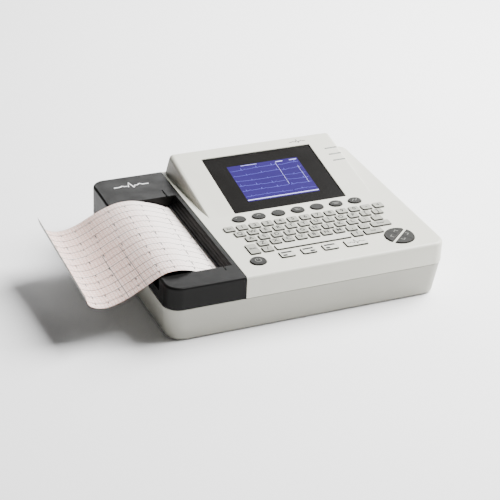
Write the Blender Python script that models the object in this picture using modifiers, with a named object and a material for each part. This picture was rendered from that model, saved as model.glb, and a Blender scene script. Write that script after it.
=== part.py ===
"""Desktop electrocardiograph with a keyboard, a display and a strip recorder.

Every length is in metres, +Z is up and +Y points to the back of the machine.
All the parts hang from the empty "machine_corner", which stands at the front
left bottom corner of the housing, so their local coordinates run right, back
and up from that corner. The world origin is at the bottom centre of the whole
object, its curled paper strip included.
"""
import math

import bmesh
import bpy
from mathutils import Vector

# ---- Driving dimensions -------------------------------------------------
WIDTH = 0.420
DEPTH = 0.330
WALL = 0.0025
GAP = 0.0003
GROUND_Z = -0.0030
FLOOR_Z = -0.0014
SEAM_Z = 0.0481
DRAFT = 0.0056
DECK_FRONT_Z = 0.0814
DECK_BACK_Z = 0.0886
SPLIT_X = 0.1126
HOOD_Y = 0.1652
HOOD_TILT = 0.2
HOOD_LEFT = 0.1245
HOOD_RIGHT = 0.388
HOOD_BACK = 0.326
HOOD_SIDE_LEAN = 0.25
STRIP_END_X = -0.1045
WINDOW_X = (0.1664, 0.3447)
WINDOW_S = (0.0040, 0.1390)
LCD_X = (0.1974, 0.3126)
LCD_S = (0.0267, 0.1131)

# ---- Recorder, in the sloping frame of the deck -------------------------
PAPER_WIDTH = 0.210
PAPER_FRONT = 0.0385
PAPER_THICK = 0.0003
PLATEN_X = 0.0995
PLATEN_W = -0.0230
PLATEN_R = 0.0054
ROLL_X = 0.042
ROLL_W = -0.0495
ROLL_R = 0.022
RECESS_FRONT = 0.037
RECESS_BACK = 0.2505
HINGE_X = 0.110
HINGE_W = -0.0024
HINGE_PIN_R = 0.0009
GEAR_MODULE = 0.0008
GEAR_FRONT = 0.257
GEAR_BACK = 0.262
PLATEN_TEETH = 16
IDLER_TEETH = 24
PINION_TEETH = 10

# ---- Keyboard, in the sloping frame of the deck -------------------------
KEY_RISE = 0.0020
KEY_CLEARANCE = 0.0005
KEY_SIZE = (0.0152, 0.0136)
KEY_ROWS = (
    (0.1400, 0.1280, 13, 0.01970),
    (0.1492, 0.1111, 12, 0.01975),
    (0.1588, 0.0941, 11, 0.01980),
    (0.1694, 0.0773, 9, 0.01970),
)
ODD_KEYS = (
    (0.3540, 0.0773, 0.0300, 0.0136),
    (0.1694, 0.0604, 0.0152, 0.0136),
    (0.3079, 0.0604, 0.0152, 0.0136),
    (0.3335, 0.0604, 0.0282, 0.0136),
    (0.1494, 0.0663, 0.0152, 0.0262),
)
SPACE_BAR = (0.2387, 0.0604, 0.1148, 0.0132)
SPECIAL_KEYS = (
    (0.1890, 0.0394, 0.0205, 0.0155),
    (0.2217, 0.0394, 0.0205, 0.0155),
    (0.2548, 0.0394, 0.0215, 0.0155),
    (0.2945, 0.0390, 0.0325, 0.0175),
)
FUNCTION_KEY_COUNT = 7
FUNCTION_KEY_START = (0.1652, 0.1522)
FUNCTION_KEY_PITCH = 0.03083
FUNCTION_KEY_RADII = (0.0102, 0.0084)
POWER_KEY = (0.1438, 0.0348)
POWER_KEY_RADII = (0.0115, 0.0108)
ARROW_CENTRE = (0.3629, 0.0366)
ARROW_RADIUS = 0.0215
ARROW_HALF_GAP = 0.0023
ARROW_ANGLE = math.radians(41)

DECK_SLOPE = (DECK_BACK_Z - DECK_FRONT_Z) / DEPTH
DECK_ANGLE = math.atan(DECK_SLOPE)
HOOD_Z = DECK_FRONT_Z + DECK_SLOPE * HOOD_Y

# ---- Colours: linear RGB, roughness, metallic ----------------------------
FINISHES = {
    "white_plastic": ((0.86, 0.86, 0.84), 0.45, 0.0),
    "warm_grey_plastic": ((0.60, 0.59, 0.56), 0.50, 0.0),
    "charcoal_plastic": ((0.075, 0.077, 0.080), 0.42, 0.0),
    "key_rubber": ((0.20, 0.20, 0.19), 0.65, 0.0),
    "black_window": ((0.012, 0.012, 0.013), 0.12, 0.0),
    "lcd_blue": ((0.08, 0.09, 0.45), 0.25, 0.0),
    "circuit_board": ((0.03, 0.16, 0.07), 0.45, 0.0),
    "steel": ((0.55, 0.55, 0.56), 0.30, 1.0),
    "brass": ((0.72, 0.52, 0.22), 0.30, 1.0),
    "black_plastic": ((0.02, 0.02, 0.02), 0.45, 0.0),
    "rubber": ((0.03, 0.03, 0.03), 0.80, 0.0),
    "nylon": ((0.80, 0.78, 0.70), 0.50, 0.0),
    "paper": ((0.93, 0.88, 0.87), 0.85, 0.0),
    "green_lens": ((0.10, 0.32, 0.16), 0.25, 0.0),
    "battery_wrap": ((0.04, 0.07, 0.18), 0.40, 0.0),
}


# ---- Helpers -------------------------------------------------------------
def clear_scene():
    for obj in list(bpy.data.objects):
        bpy.data.objects.remove(obj, do_unlink=True)


def make_collection(name):
    collection = bpy.data.collections.new(name)
    bpy.context.scene.collection.children.link(collection)
    return collection


def make_material(part_name, finish):
    colour, roughness, metallic = FINISHES[finish]
    material = bpy.data.materials.new(part_name + "_" + finish)
    material.use_nodes = True
    shader = material.node_tree.nodes["Principled BSDF"]
    shader.inputs["Base Color"].default_value = (*colour, 1.0)
    shader.inputs["Roughness"].default_value = roughness
    shader.inputs["Metallic"].default_value = metallic
    return material


def make_empty(name, location, parent=None, tilt=0.0):
    empty = bpy.data.objects.new(name, None)
    parts.objects.link(empty)
    empty.location = location
    empty.rotation_euler = (tilt, 0.0, 0.0)
    empty.parent = parent
    return empty


def add_object(name, mesh, finish, parent, location=(0, 0, 0), rotation=(0, 0, 0)):
    """Link a part, or a cutter when finish is None."""
    obj = bpy.data.objects.new(name, mesh)
    obj.location = location
    obj.rotation_euler = rotation
    obj.parent = parent
    if finish is None:
        cutters.objects.link(obj)
        obj.hide_render = True
        obj.display_type = "WIRE"
        return obj
    parts.objects.link(obj)
    mesh.materials.append(make_material(name, finish))
    mesh.shade_smooth()
    mesh.set_sharp_from_angle(angle=math.radians(35))
    return obj


def mesh_from(bm, name):
    bmesh.ops.recalc_face_normals(bm, faces=bm.faces)
    mesh = bpy.data.meshes.new(name)
    bm.to_mesh(mesh)
    bm.free()
    return mesh


def cube_mesh(size):
    bm = bmesh.new()
    bmesh.ops.create_cube(bm, size=1.0)
    bmesh.ops.scale(bm, vec=size, verts=bm.verts)
    return bm


def block(name, low, high, finish, parent, rounding=0.0, segments=2):
    """A box between two corners, with its edges rounded."""
    low = Vector(low)
    high = Vector(high)
    bm = cube_mesh(high - low)
    if rounding:
        bmesh.ops.bevel(bm, geom=bm.edges, offset=rounding, segments=segments,
                        profile=0.5, affect="EDGES")
    return add_object(name, mesh_from(bm, name), finish, parent, (low + high) / 2)


def blocks(name, boxes, finish, parent):
    """Several separate boxes in one mesh; each is (x, y, width, depth, z0, z1)."""
    bm = bmesh.new()
    for x, y, width, depth, bottom, top in boxes:
        made = bmesh.ops.create_cube(bm, size=1.0)["verts"]
        bmesh.ops.scale(bm, vec=(width, depth, top - bottom), verts=made)
        bmesh.ops.translate(bm, vec=(x, y, (bottom + top) / 2), verts=made)
    return add_object(name, mesh_from(bm, name), finish, parent)


AXIS_TURN = {"X": (0, math.pi / 2, 0), "Y": (-math.pi / 2, 0, 0), "Z": (0, 0, 0)}


def cylinder(name, radii, length, centre, axis, finish, parent, sides=24):
    """A cylinder along an axis; radii is one radius, or two for an ellipse."""
    radius_x, radius_y = radii if isinstance(radii, tuple) else (radii, radii)
    bm = bmesh.new()
    bmesh.ops.create_cone(bm, cap_ends=True, segments=sides, radius1=1.0,
                          radius2=1.0, depth=length)
    bmesh.ops.scale(bm, vec=(radius_x, radius_y, 1.0), verts=bm.verts)
    return add_object(name, mesh_from(bm, name), finish, parent, centre, AXIS_TURN[axis])


def turned(name, profile, centre, axis, finish, parent, sides=24):
    """Turn a profile of (radius, height) points, listed from the top down."""
    mesh = bpy.data.meshes.new(name)
    points = [(radius, 0.0, height) for radius, height in profile]
    edges = [(i, i + 1) for i in range(len(points) - 1)]
    mesh.from_pydata(points, edges, [])
    obj = add_object(name, mesh, finish, parent, centre, AXIS_TURN[axis])
    screw = obj.modifiers.new("turn", "SCREW")
    screw.steps = sides
    screw.render_steps = sides
    screw.use_merge_vertices = True
    screw.merge_threshold = 0.00001
    screw.use_smooth_shade = False
    return obj


def outline_solid(name, outlines, thickness, finish, parent, location, rotation):
    """Extrude closed 2D outlines, holes included, as a filled flat curve."""
    curve = bpy.data.curves.new(name, "CURVE")
    curve.dimensions = "2D"
    curve.fill_mode = "BOTH"
    curve.extrude = thickness / 2
    for outline in outlines:
        spline = curve.splines.new("POLY")
        spline.points.add(len(outline) - 1)
        for point, (x, y) in zip(spline.points, outline):
            point.co = (x, y, 0.0, 1.0)
        spline.use_cyclic_u = True
    flat = bpy.data.objects.new(name + "_outline", curve)
    cutters.objects.link(flat)
    bpy.context.view_layer.update()
    evaluated = flat.evaluated_get(bpy.context.evaluated_depsgraph_get())
    mesh = bpy.data.meshes.new_from_object(evaluated)
    bpy.data.objects.remove(flat, do_unlink=True)
    bm = bmesh.new()
    bm.from_mesh(mesh)
    bmesh.ops.remove_doubles(bm, verts=bm.verts, dist=0.000001)
    bmesh.ops.recalc_face_normals(bm, faces=bm.faces)
    bm.to_mesh(mesh)
    bm.free()
    return add_object(name, mesh, finish, parent, location, rotation)


def profile_along_y(name, outline, front, back, finish, parent):
    """Extrude an outline of (x, z) points from front to back along Y."""
    return outline_solid(name, [outline], back - front, finish, parent,
                         (0.0, (front + back) / 2, 0.0), (math.pi / 2, 0.0, 0.0))


def boolean(target, operand, operation="DIFFERENCE"):
    modifier = target.modifiers.new(operation.lower(), "BOOLEAN")
    modifier.operation = operation
    modifier.solver = "EXACT"
    modifier.object = operand


def arc(centre, radius, start, end, steps):
    """Points on an arc, both ends included, angles in radians."""
    return [(centre[0] + radius * math.cos(start + (end - start) * i / steps),
             centre[1] + radius * math.sin(start + (end - start) * i / steps))
            for i in range(steps + 1)]


def edges_at(bm, test):
    return [edge for edge in bm.edges if all(test(vert.co) for vert in edge.verts)]


def round_vertical_edges(bm, low, high, radii, segments):
    """Round the corners of a box: radii for the front left, front right, back
    right and back left."""
    corners = ((low[0], low[1]), (high[0], low[1]), (high[0], high[1]), (low[0], high[1]))
    for (x, y), radius in zip(corners, radii):
        if radius <= 0:
            continue
        found = edges_at(bm, lambda co: abs(co.x - x) < 1e-6 and abs(co.y - y) < 1e-6)
        bmesh.ops.bevel(bm, geom=found, offset=radius, segments=segments,
                        profile=0.5, affect="EDGES")


def housing_mesh(name, low, high, radii, segments, deck_inset=None, edge_radius=0.0,
                 plain_left=False, bottom_radius=0.0, insets=(0.0, 0.0)):
    """A rounded box for a housing. With deck_inset its top follows the deck that
    far below it. insets narrow the bottom and the top, but not at the back.
    plain_left leaves the left edge of the top sharp."""
    low = Vector(low)
    high = Vector(high)
    bm = cube_mesh(high - low)
    bmesh.ops.translate(bm, vec=(low + high) / 2, verts=bm.verts)
    round_vertical_edges(bm, low, high, radii, segments)
    if bottom_radius:
        found = edges_at(bm, lambda co: abs(co.z - low.z) < 1e-6)
        bmesh.ops.bevel(bm, geom=found, offset=bottom_radius, segments=2,
                        profile=0.5, affect="EDGES")
    if edge_radius:
        found = edges_at(bm, lambda co: abs(co.z - high.z) < 1e-6)
        if plain_left:
            found = [e for e in found if any(abs(v.co.x - low.x) > 1e-6 for v in e.verts)]
        bmesh.ops.bevel(bm, geom=found, offset=edge_radius, segments=3,
                        profile=0.5, affect="EDGES")
    middle = (low + high) / 2
    for vert in bm.verts:
        rise = (vert.co.z - low.z) / (high.z - low.z)
        inset = insets[0] + (insets[1] - insets[0]) * rise
        side = (middle.x - vert.co.x) / (middle.x - low.x)
        vert.co.x += inset * side
        vert.co.y += inset * (high.y - vert.co.y) / (high.y - low.y)
        if deck_inset is not None and rise > 0.5:
            vert.co.z += DECK_SLOPE * vert.co.y - deck_inset
    return mesh_from(bm, name)


# ---- Housing ---------------------------------------------------------------
def housing_inset(z):
    """How far the drafted lower walls stand inside the seam at height z."""
    return DRAFT * (SEAM_Z - z) / (SEAM_Z - FLOOR_Z)


BOARD_BOSS_Z = 0.030
BOARD_BOSSES = ((0.150, 0.070), (0.390, 0.070), (0.150, 0.180), (0.390, 0.180))
BATTERY_LOW = (0.185, 0.205)
BATTERY_HIGH = (0.285, 0.295)
BACK_OPENINGS = {
    "mains_inlet": (0.360, 0.026, 0.0280, 0.0210),
    "mains_switch": (0.325, 0.026, 0.0200, 0.0210),
    "serial_port": (0.255, 0.026, 0.0320, 0.0130),
    "usb_port": (0.215, 0.026, 0.0150, 0.0130),
    "equipotential_stud": (0.392, 0.026, 0.0140, 0.0140),
}
PATIENT_SOCKET = (0.115, 0.027, 0.0440, 0.0150)


def lower_housing():
    outer = housing_mesh("lower_housing", (0, 0, FLOOR_Z), (WIDTH, DEPTH, SEAM_Z),
                         (0.024, 0.020, 0.018, 0.022), 6, bottom_radius=0.003,
                         insets=(DRAFT, 0.0))
    housing = add_object("lower_housing", outer, "warm_grey_plastic", corner)
    floor_top = FLOOR_Z + WALL
    above = SEAM_Z + 0.010
    inner = housing_mesh("lower_cavity", (WALL, WALL, floor_top),
                         (WIDTH - WALL, DEPTH - WALL, above),
                         (0.022, 0.018, 0.016, 0.020), 6,
                         insets=(housing_inset(floor_top), housing_inset(above)))
    boolean(housing, add_object("lower_cavity", inner, None, corner))
    for index, (x, y) in enumerate(BOARD_BOSSES):
        height = BOARD_BOSS_Z - floor_top + 0.001
        boss = cylinder("board_boss_%d" % index, 0.004, height,
                        (x, y, BOARD_BOSS_Z - height / 2), "Z", None, corner, sides=10)
        boolean(housing, boss, "UNION")
    for name, (x, z, width, height) in BACK_OPENINGS.items():
        hole = block(name + "_hole", (x - width / 2, DEPTH - 0.008, z - height / 2),
                     (x + width / 2, DEPTH + 0.005, z + height / 2), None, corner)
        boolean(housing, hole)
    y, z, width, height = PATIENT_SOCKET
    hole = block("patient_socket_hole", (WIDTH - 0.020, y - width / 2, z - height / 2),
                 (WIDTH + 0.005, y + width / 2, z + height / 2), None, corner)
    boolean(housing, hole)
    hole = block("battery_hole", (*BATTERY_LOW, FLOOR_Z - 0.005),
                 (*BATTERY_HIGH, floor_top + 0.005), None, corner)
    boolean(housing, hole)


def hood_mesh(name, inset):
    """The raised block that carries the display. Its top is the sloping hood
    plane, and its sides lean out towards the deck."""
    front = HOOD_Y - 0.015
    bottom = 0.070 - inset * 2
    low = Vector((HOOD_LEFT + inset, front, bottom))
    high = Vector((HOOD_RIGHT - inset, HOOD_BACK - inset, bottom + 0.020))
    bm = cube_mesh(high - low)
    bmesh.ops.translate(bm, vec=(low + high) / 2, verts=bm.verts)
    for vert in bm.verts:
        top = HOOD_Z + (vert.co.y - HOOD_Y) * math.tan(HOOD_TILT) - inset / math.cos(HOOD_TILT)
        if vert.co.z > bottom + 0.010:
            vert.co.z = top
        else:
            lean = (top - bottom) * HOOD_SIDE_LEAN
            vert.co.x += lean if vert.co.x > WIDTH / 2 else -lean
    bm.normal_update()
    back_top = edges_at(bm, lambda co: co.y > high.y - 1e-6 and co.z > bottom + 0.005)
    bmesh.ops.bevel(bm, geom=back_top, offset=0.008 - inset, segments=3,
                    profile=0.5, affect="EDGES")
    crown = [edge for edge in bm.edges if len(edge.link_faces) == 2
             and min(vert.co.z for vert in edge.verts) > bottom + 0.006
             and edge.calc_face_angle(0.0) > math.radians(50)
             and max(abs(face.normal.x) for face in edge.link_faces) > 0.8]
    bmesh.ops.bevel(bm, geom=crown, offset=0.004 - inset / 2, segments=3,
                    profile=0.5, affect="EDGES")
    bmesh.ops.triangulate(bm, faces=bm.faces)
    return mesh_from(bm, name)


def alpha_keys():
    """Every plain key of the alphanumeric block, as (x, y, width, depth)."""
    keys = [(start + pitch * i, y, *KEY_SIZE)
            for start, y, count, pitch in KEY_ROWS for i in range(count)]
    return keys + list(ODD_KEYS)


def half_disc(side, grow):
    """Outline of one half of the arrow pad; side is +1 or -1 across its gap."""
    radius = ARROW_RADIUS + grow
    offset = ARROW_HALF_GAP - grow
    swing = math.asin(offset / radius)
    points = arc((0.0, 0.0), radius, swing, math.pi - swing, 14)
    turn = ARROW_ANGLE if side > 0 else ARROW_ANGLE + math.pi
    return [(x * math.cos(turn) - y * math.sin(turn), x * math.sin(turn) + y * math.cos(turn))
            for x, y in points]


ROUND_KEYS = [("function_key_%d" % (i + 1), FUNCTION_KEY_START[0] + i * FUNCTION_KEY_PITCH,
               FUNCTION_KEY_START[1], FUNCTION_KEY_RADII) for i in range(FUNCTION_KEY_COUNT)]
ROUND_KEYS.append(("power_key", *POWER_KEY, POWER_KEY_RADII))
INDICATOR_S = (0.1219, 0.1063, 0.0906)
INDICATOR_X = (0.3640, 0.3850)
INDICATOR_HALF = 0.0014


def upper_housing():
    high = (WIDTH, DEPTH, DECK_FRONT_Z)
    low = (SPLIT_X + GAP, 0, SEAM_Z + GAP)
    outer = housing_mesh("upper_housing", low, high, (0, 0.018, 0.016, 0), 6, deck_inset=0.0,
                         edge_radius=0.005, plain_left=True)
    housing = add_object("upper_housing", outer, "white_plastic", corner)
    hood = add_object("hood_block", hood_mesh("hood_block", 0.0), None, corner)
    boolean(housing, hood, "UNION")

    inner_low = (low[0] + WALL, WALL, SEAM_Z - 0.010)
    inner_high = (WIDTH - WALL, DEPTH - WALL, DECK_FRONT_Z)
    inner = housing_mesh("upper_cavity", inner_low, inner_high, (0, 0.0155, 0.0135, 0), 4,
                         deck_inset=WALL, edge_radius=0.0025, plain_left=True)
    cavity = add_object("upper_cavity", inner, None, corner)
    inner_hood = add_object("hood_cavity", hood_mesh("hood_cavity", WALL), None, corner)
    boolean(cavity, inner_hood, "UNION")
    boolean(housing, cavity)

    through = (-0.006, 0.006)
    grow = 2 * KEY_CLEARANCE
    square = [(x, y, w + grow, d + grow, *through) for x, y, w, d in alpha_keys()]
    square += [(x, y, w + grow, d + grow, *through) for x, y, w, d in (SPACE_BAR, *SPECIAL_KEYS)]
    boolean(housing, blocks("key_openings", square, None, deck))
    for name, x, y, radii in ROUND_KEYS:
        wide = tuple(radius + KEY_CLEARANCE for radius in radii)
        hole = cylinder(name + "_opening", wide, 0.012, (x, y, 0.0), "Z", None, deck, sides=28)
        boolean(housing, hole)
    for side in (1, -1):
        hole = outline_solid("arrow_opening_%d" % side, [half_disc(side, KEY_CLEARANCE)], 0.012,
                             None, deck, (*ARROW_CENTRE, 0.0), (0, 0, 0))
        boolean(housing, hole)

    boolean(housing, block("window_opening", (WINDOW_X[0], WINDOW_S[0], -0.010),
                           (WINDOW_X[1], WINDOW_S[1], 0.006), None, hood_plane))
    slots = [((INDICATOR_X[0] + INDICATOR_X[1]) / 2, s, INDICATOR_X[1] - INDICATOR_X[0],
              2 * INDICATOR_HALF, -0.008, 0.004) for s in INDICATOR_S]
    boolean(housing, blocks("indicator_openings", slots, None, hood_plane))
    for index, (front, back) in enumerate(HINGE_EARS):
        boolean(housing, hinge_ear(index, front, back), "UNION")


HINGE_EARS = ((0.020, 0.030), (0.160, 0.170), (0.300, 0.310))
EAR_R = 0.0014


def hinge_ear(index, front, back):
    """An ear on the upper housing that reaches under the lid's rail and holds
    the hinge pin."""
    pin = (HINGE_X, HINGE_W)
    root_x = SPLIT_X + GAP + 0.001
    outline = arc(pin, EAR_R, math.radians(-60), math.radians(180), 8)
    outline += [(HINGE_X - EAR_R, -0.0075), (root_x, -0.0095), (root_x, -0.0068),
                (HINGE_X + 0.0009, -0.0058)]
    bore = arc(pin, HINGE_PIN_R + GAP / 3, 0.0, 2 * math.pi * 11 / 12, 11)
    ear = outline_solid("hinge_ear_%d" % index, [outline, bore], back - front, None, deck,
                        (0.0, (front + back) / 2, 0.0), (math.pi / 2, 0.0, 0.0))
    return ear


def feet():
    for name, x, y in (("foot_front_left", 0.035, 0.035), ("foot_front_right", 0.385, 0.035),
                       ("foot_back_left", 0.035, 0.295), ("foot_back_right", 0.385, 0.295)):
        top = FLOOR_Z - GAP - GROUND_Z
        turned(name, [(0.0, top), (0.0095, top), (0.0095, 0.0004), (0.0091, 0.0), (0.0, 0.0)],
               (x, y, GROUND_Z), "Z", "rubber", corner, sides=20)


# ---- Display, boards and power ------------------------------------------------
def display():
    low = (WINDOW_X[0] + GAP, WINDOW_S[0] + GAP, -0.0036)
    high = (WINDOW_X[1] - GAP, WINDOW_S[1] - GAP, -0.0014)
    block("display_window", low, high, "black_window", hood_plane)
    border = 0.012
    block("lcd_module", (LCD_X[0] - border, LCD_S[0] - border, -0.0115),
          (LCD_X[1] + border, LCD_S[1] + border, -0.0036 - GAP), "lcd_blue", hood_plane)
    for index, s in enumerate(INDICATOR_S):
        block("indicator_%d" % (index + 1),
              (INDICATOR_X[0] + GAP, s - INDICATOR_HALF + GAP, -0.0060),
              (INDICATOR_X[1] - GAP, s + INDICATOR_HALF - GAP, 0.0003), "green_lens", hood_plane)


def boards():
    bottom = BOARD_BOSS_Z + GAP
    block("main_board", (0.135, 0.060, bottom), (0.398, 0.192, bottom + 0.0016),
          "circuit_board", corner)
    floor_top = FLOOR_Z + WALL + GAP
    block("power_supply", (0.300, 0.205, floor_top), (0.404, 0.298, 0.042), "steel", corner,
          rounding=0.002)
    block("battery_pack", (BATTERY_LOW[0] + 0.004, BATTERY_LOW[1] + 0.004, floor_top),
          (BATTERY_HIGH[0] - 0.004, BATTERY_HIGH[1] - 0.004, 0.034), "battery_wrap", corner,
          rounding=0.004)
    block("battery_cover", (BATTERY_LOW[0] + GAP, BATTERY_LOW[1] + GAP, FLOOR_Z),
          (BATTERY_HIGH[0] - GAP, BATTERY_HIGH[1] - GAP, FLOOR_Z + 0.002),
          "warm_grey_plastic", corner)


# ---- Keyboard --------------------------------------------------------------------
MAT_TOP = -0.0065
MAT_BOTTOM = -0.0080
KEY_FOOT = -0.0045


def keyboard():
    mat = block("keypad_mat", (0.128, 0.024, MAT_BOTTOM), (0.392, 0.168, MAT_TOP),
                "key_rubber", deck)
    bumps = [(x, y, w, d, MAT_TOP - 0.0005, KEY_RISE) for x, y, w, d in alpha_keys()]
    boolean(mat, blocks("mat_keys", bumps, None, deck), "UNION")
    block("keypad_board", (0.128, 0.024, MAT_BOTTOM - GAP - 0.0016),
          (0.392, 0.168, MAT_BOTTOM - GAP), "circuit_board", deck)
    for index, (x, y, width, depth) in enumerate(SPECIAL_KEYS):
        slab_key("special_key_%d" % (index + 1), x, y, width, depth)
    slab_key("space_bar", *SPACE_BAR)
    for name, x, y, radii in ROUND_KEYS:
        height = KEY_RISE - KEY_FOOT
        cylinder(name, radii, height, (x, y, (KEY_RISE + KEY_FOOT) / 2), "Z", "key_rubber",
                 deck, sides=28)
    for name, side in (("arrow_key_upper", 1), ("arrow_key_lower", -1)):
        outline_solid(name, [half_disc(side, 0.0)], KEY_RISE - KEY_FOOT, "key_rubber", deck,
                      (*ARROW_CENTRE, (KEY_RISE + KEY_FOOT) / 2), (0, 0, 0))


def slab_key(name, x, y, width, depth):
    block(name, (x - width / 2, y - depth / 2, KEY_FOOT), (x + width / 2, y + depth / 2, KEY_RISE),
          "key_rubber", deck)


# ---- Sockets ------------------------------------------------------------------------
def back_socket(name, opening, mouth, depth, finish, tongues):
    """A socket in the back wall: a block with a rectangular mouth, and tongues
    given as (x offset, z offset, width, height) standing in the mouth."""
    x, z, width, height = opening
    face = DEPTH - GAP
    body = block(name, (x - width / 2 + GAP, face - depth - 0.006, z - height / 2 + GAP),
                 (x + width / 2 - GAP, face, z + height / 2 - GAP), finish, corner)
    cut = block(name + "_mouth", (x - mouth[0] / 2, face - depth, z - mouth[1] / 2),
                (x + mouth[0] / 2, face + 0.002, z + mouth[1] / 2), None, corner)
    boolean(body, cut)
    for index, (dx, dz, w, h) in enumerate(tongues):
        tongue = block("%s_tongue_%d" % (name, index),
                       (x + dx - w / 2, face - depth - 0.002, z + dz - h / 2),
                       (x + dx + w / 2, face - 0.006, z + dz + h / 2), None, corner)
        boolean(body, tongue, "UNION")


def sockets():
    back_socket("mains_inlet", BACK_OPENINGS["mains_inlet"], (0.0235, 0.0165), 0.016,
                "black_plastic", ((-0.007, -0.003, 0.002, 0.004), (0.0, 0.004, 0.002, 0.004),
                                  (0.007, -0.003, 0.002, 0.004)))
    back_socket("serial_port", BACK_OPENINGS["serial_port"], (0.0180, 0.0090), 0.007, "steel",
                ())
    back_socket("usb_port", BACK_OPENINGS["usb_port"], (0.0106, 0.0092), 0.010, "steel",
                ((0.0, 0.0, 0.0056, 0.0032),))
    y, z, width, height = PATIENT_SOCKET
    face = WIDTH - housing_inset(z + height / 2) - 0.0035
    body = block("patient_cable_socket", (face - 0.016, y - width / 2 + GAP, z - height / 2 + GAP),
                 (face, y + width / 2 - GAP, z + height / 2 - GAP), "steel", corner)
    boolean(body, block("patient_mouth", (face - 0.007, y - 0.0130, z - 0.0050),
                        (face + 0.002, y + 0.0130, z + 0.0050), None, corner))
    x, z, width, height = BACK_OPENINGS["equipotential_stud"]
    turned("equipotential_stud",
           [(0.0, 0.0), (0.0030, 0.0), (0.0030, -0.0090), (0.0045, -0.0095), (0.0045, -0.014),
            (0.0, -0.014)], (x, DEPTH - 0.0005, z), "Y", "brass", corner, sides=16)


ROCKER_TILT = math.radians(8)
ROCKER_PIVOT_DEPTH = 0.0075


def mains_switch():
    x, z, width, height = BACK_OPENINGS["mains_switch"]
    face = DEPTH - GAP
    frame = block("mains_switch_frame", (x - width / 2 + GAP, face - 0.020, z - height / 2 + GAP),
                  (x + width / 2 - GAP, face, z + height / 2 - GAP), "black_plastic", corner)
    boolean(frame, block("switch_well", (x - 0.0075, face - 0.016, z - 0.0085),
                         (x + 0.0075, face + 0.002, z + 0.0085), None, corner))
    outline = [(-0.0066, 0.0030), (0.0, 0.0014), (0.0066, 0.0030), (0.0052, -0.0050),
               (-0.0052, -0.0050)]
    pivot = (x, face - ROCKER_PIVOT_DEPTH, z)
    tilt = (ROCKER_TILT, 0.0, 0.0)
    holder = make_empty("rocker_pivot", pivot, corner)
    holder.rotation_euler = tilt
    outline_solid("mains_rocker", [[(across, out + 0.001) for across, out in outline]], 0.0142,
                  "black_plastic", holder, (0, 0, 0), (0.0, math.pi / 2, math.pi))


# ---- Recorder mechanism, in the base ------------------------------------------------
def gear_outline(teeth, phase, bore):
    """Straight-flanked teeth on the pitch circle, with running clearance, and
    a round bore."""
    pitch_radius = GEAR_MODULE * teeth / 2
    tip = pitch_radius + 0.80 * GEAR_MODULE
    root = pitch_radius - 1.15 * GEAR_MODULE
    points = []
    for tooth in range(teeth):
        middle = phase + 2 * math.pi * tooth / teeth
        pitch_angle = 2 * math.pi / teeth
        for radius, share in ((root, -0.30), (tip, -0.10), (tip, 0.10), (root, 0.30)):
            angle = middle + pitch_angle * share
            points.append((radius * math.cos(angle), radius * math.sin(angle)))
    return [points, arc((0.0, 0.0), bore, 0.0, 2 * math.pi * 15 / 16, 15)]


def gear(name, teeth, centre, phase, bore):
    """A gear across the deck frame's X and W axes; phase turns a tooth from the
    X axis towards W."""
    middle = (GEAR_FRONT + GEAR_BACK) / 2
    return outline_solid(name, gear_outline(teeth, phase, bore), GEAR_BACK - GEAR_FRONT, "nylon",
                         deck, (centre[0], middle, centre[1]), (math.pi / 2, 0.0, 0.0))


def gear_centre(origin, teeth_a, teeth_b, angle):
    distance = GEAR_MODULE * (teeth_a + teeth_b) / 2
    return (origin[0] + distance * math.cos(angle), origin[1] + distance * math.sin(angle))


PLATEN = (PLATEN_X, PLATEN_W)
IDLER_ANGLE = math.radians(-120)
IDLER = gear_centre(PLATEN, PLATEN_TEETH, IDLER_TEETH, IDLER_ANGLE)
MOTOR_ANGLE = math.radians(-160)
MOTOR = gear_centre(IDLER, IDLER_TEETH, PINION_TEETH, MOTOR_ANGLE)
MOTOR_RADIUS = 0.0175
SHAFT_R = 0.0025


def drive_train():
    shaft_gap = GAP
    gear("platen_gear", PLATEN_TEETH, PLATEN, IDLER_ANGLE, SHAFT_R + shaft_gap)
    idler_phase = IDLER_ANGLE + math.pi + math.pi / IDLER_TEETH
    gear("idler_gear", IDLER_TEETH, IDLER, idler_phase, 0.0015 + shaft_gap)
    # The pinion's tooth fills the gap that the idler shows on their centre line.
    idler_pitch = 2 * math.pi / IDLER_TEETH
    off_tooth = ((MOTOR_ANGLE - idler_phase) / idler_pitch) % 1.0
    pinion_phase = MOTOR_ANGLE + math.pi + (0.5 - off_tooth) * 2 * math.pi / PINION_TEETH * -1
    gear("motor_pinion", PINION_TEETH, MOTOR, pinion_phase, 0.0010 + shaft_gap)

    bracket = block("motor_bracket", (0.060, 0.2635, -0.0660), (0.1020, 0.2655, -0.0180),
                    "steel", deck)
    stud = cylinder("idler_stud", 0.0015, 0.0075, (IDLER[0], 0.2605, IDLER[1]), "Y", None, deck,
                    sides=16)
    boolean(bracket, cylinder("pinion_hole", 0.0035, 0.010, (MOTOR[0], 0.2645, MOTOR[1]), "Y",
                              None, deck, sides=16))
    boolean(bracket, stud, "UNION")
    boolean(bracket, cylinder("shaft_hole", 0.0040, 0.010, (PLATEN_X, 0.2645, PLATEN_W), "Y",
                              None, deck, sides=16))
    motor = cylinder("stepper_motor", MOTOR_RADIUS, 0.022, (MOTOR[0], 0.2770, MOTOR[1]), "Y",
                     "steel", deck, sides=32)
    boolean(motor, cylinder("motor_shaft", 0.0010, 0.012, (MOTOR[0], 0.2620, MOTOR[1]), "Y",
                            None, deck, sides=12), "UNION")


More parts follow.
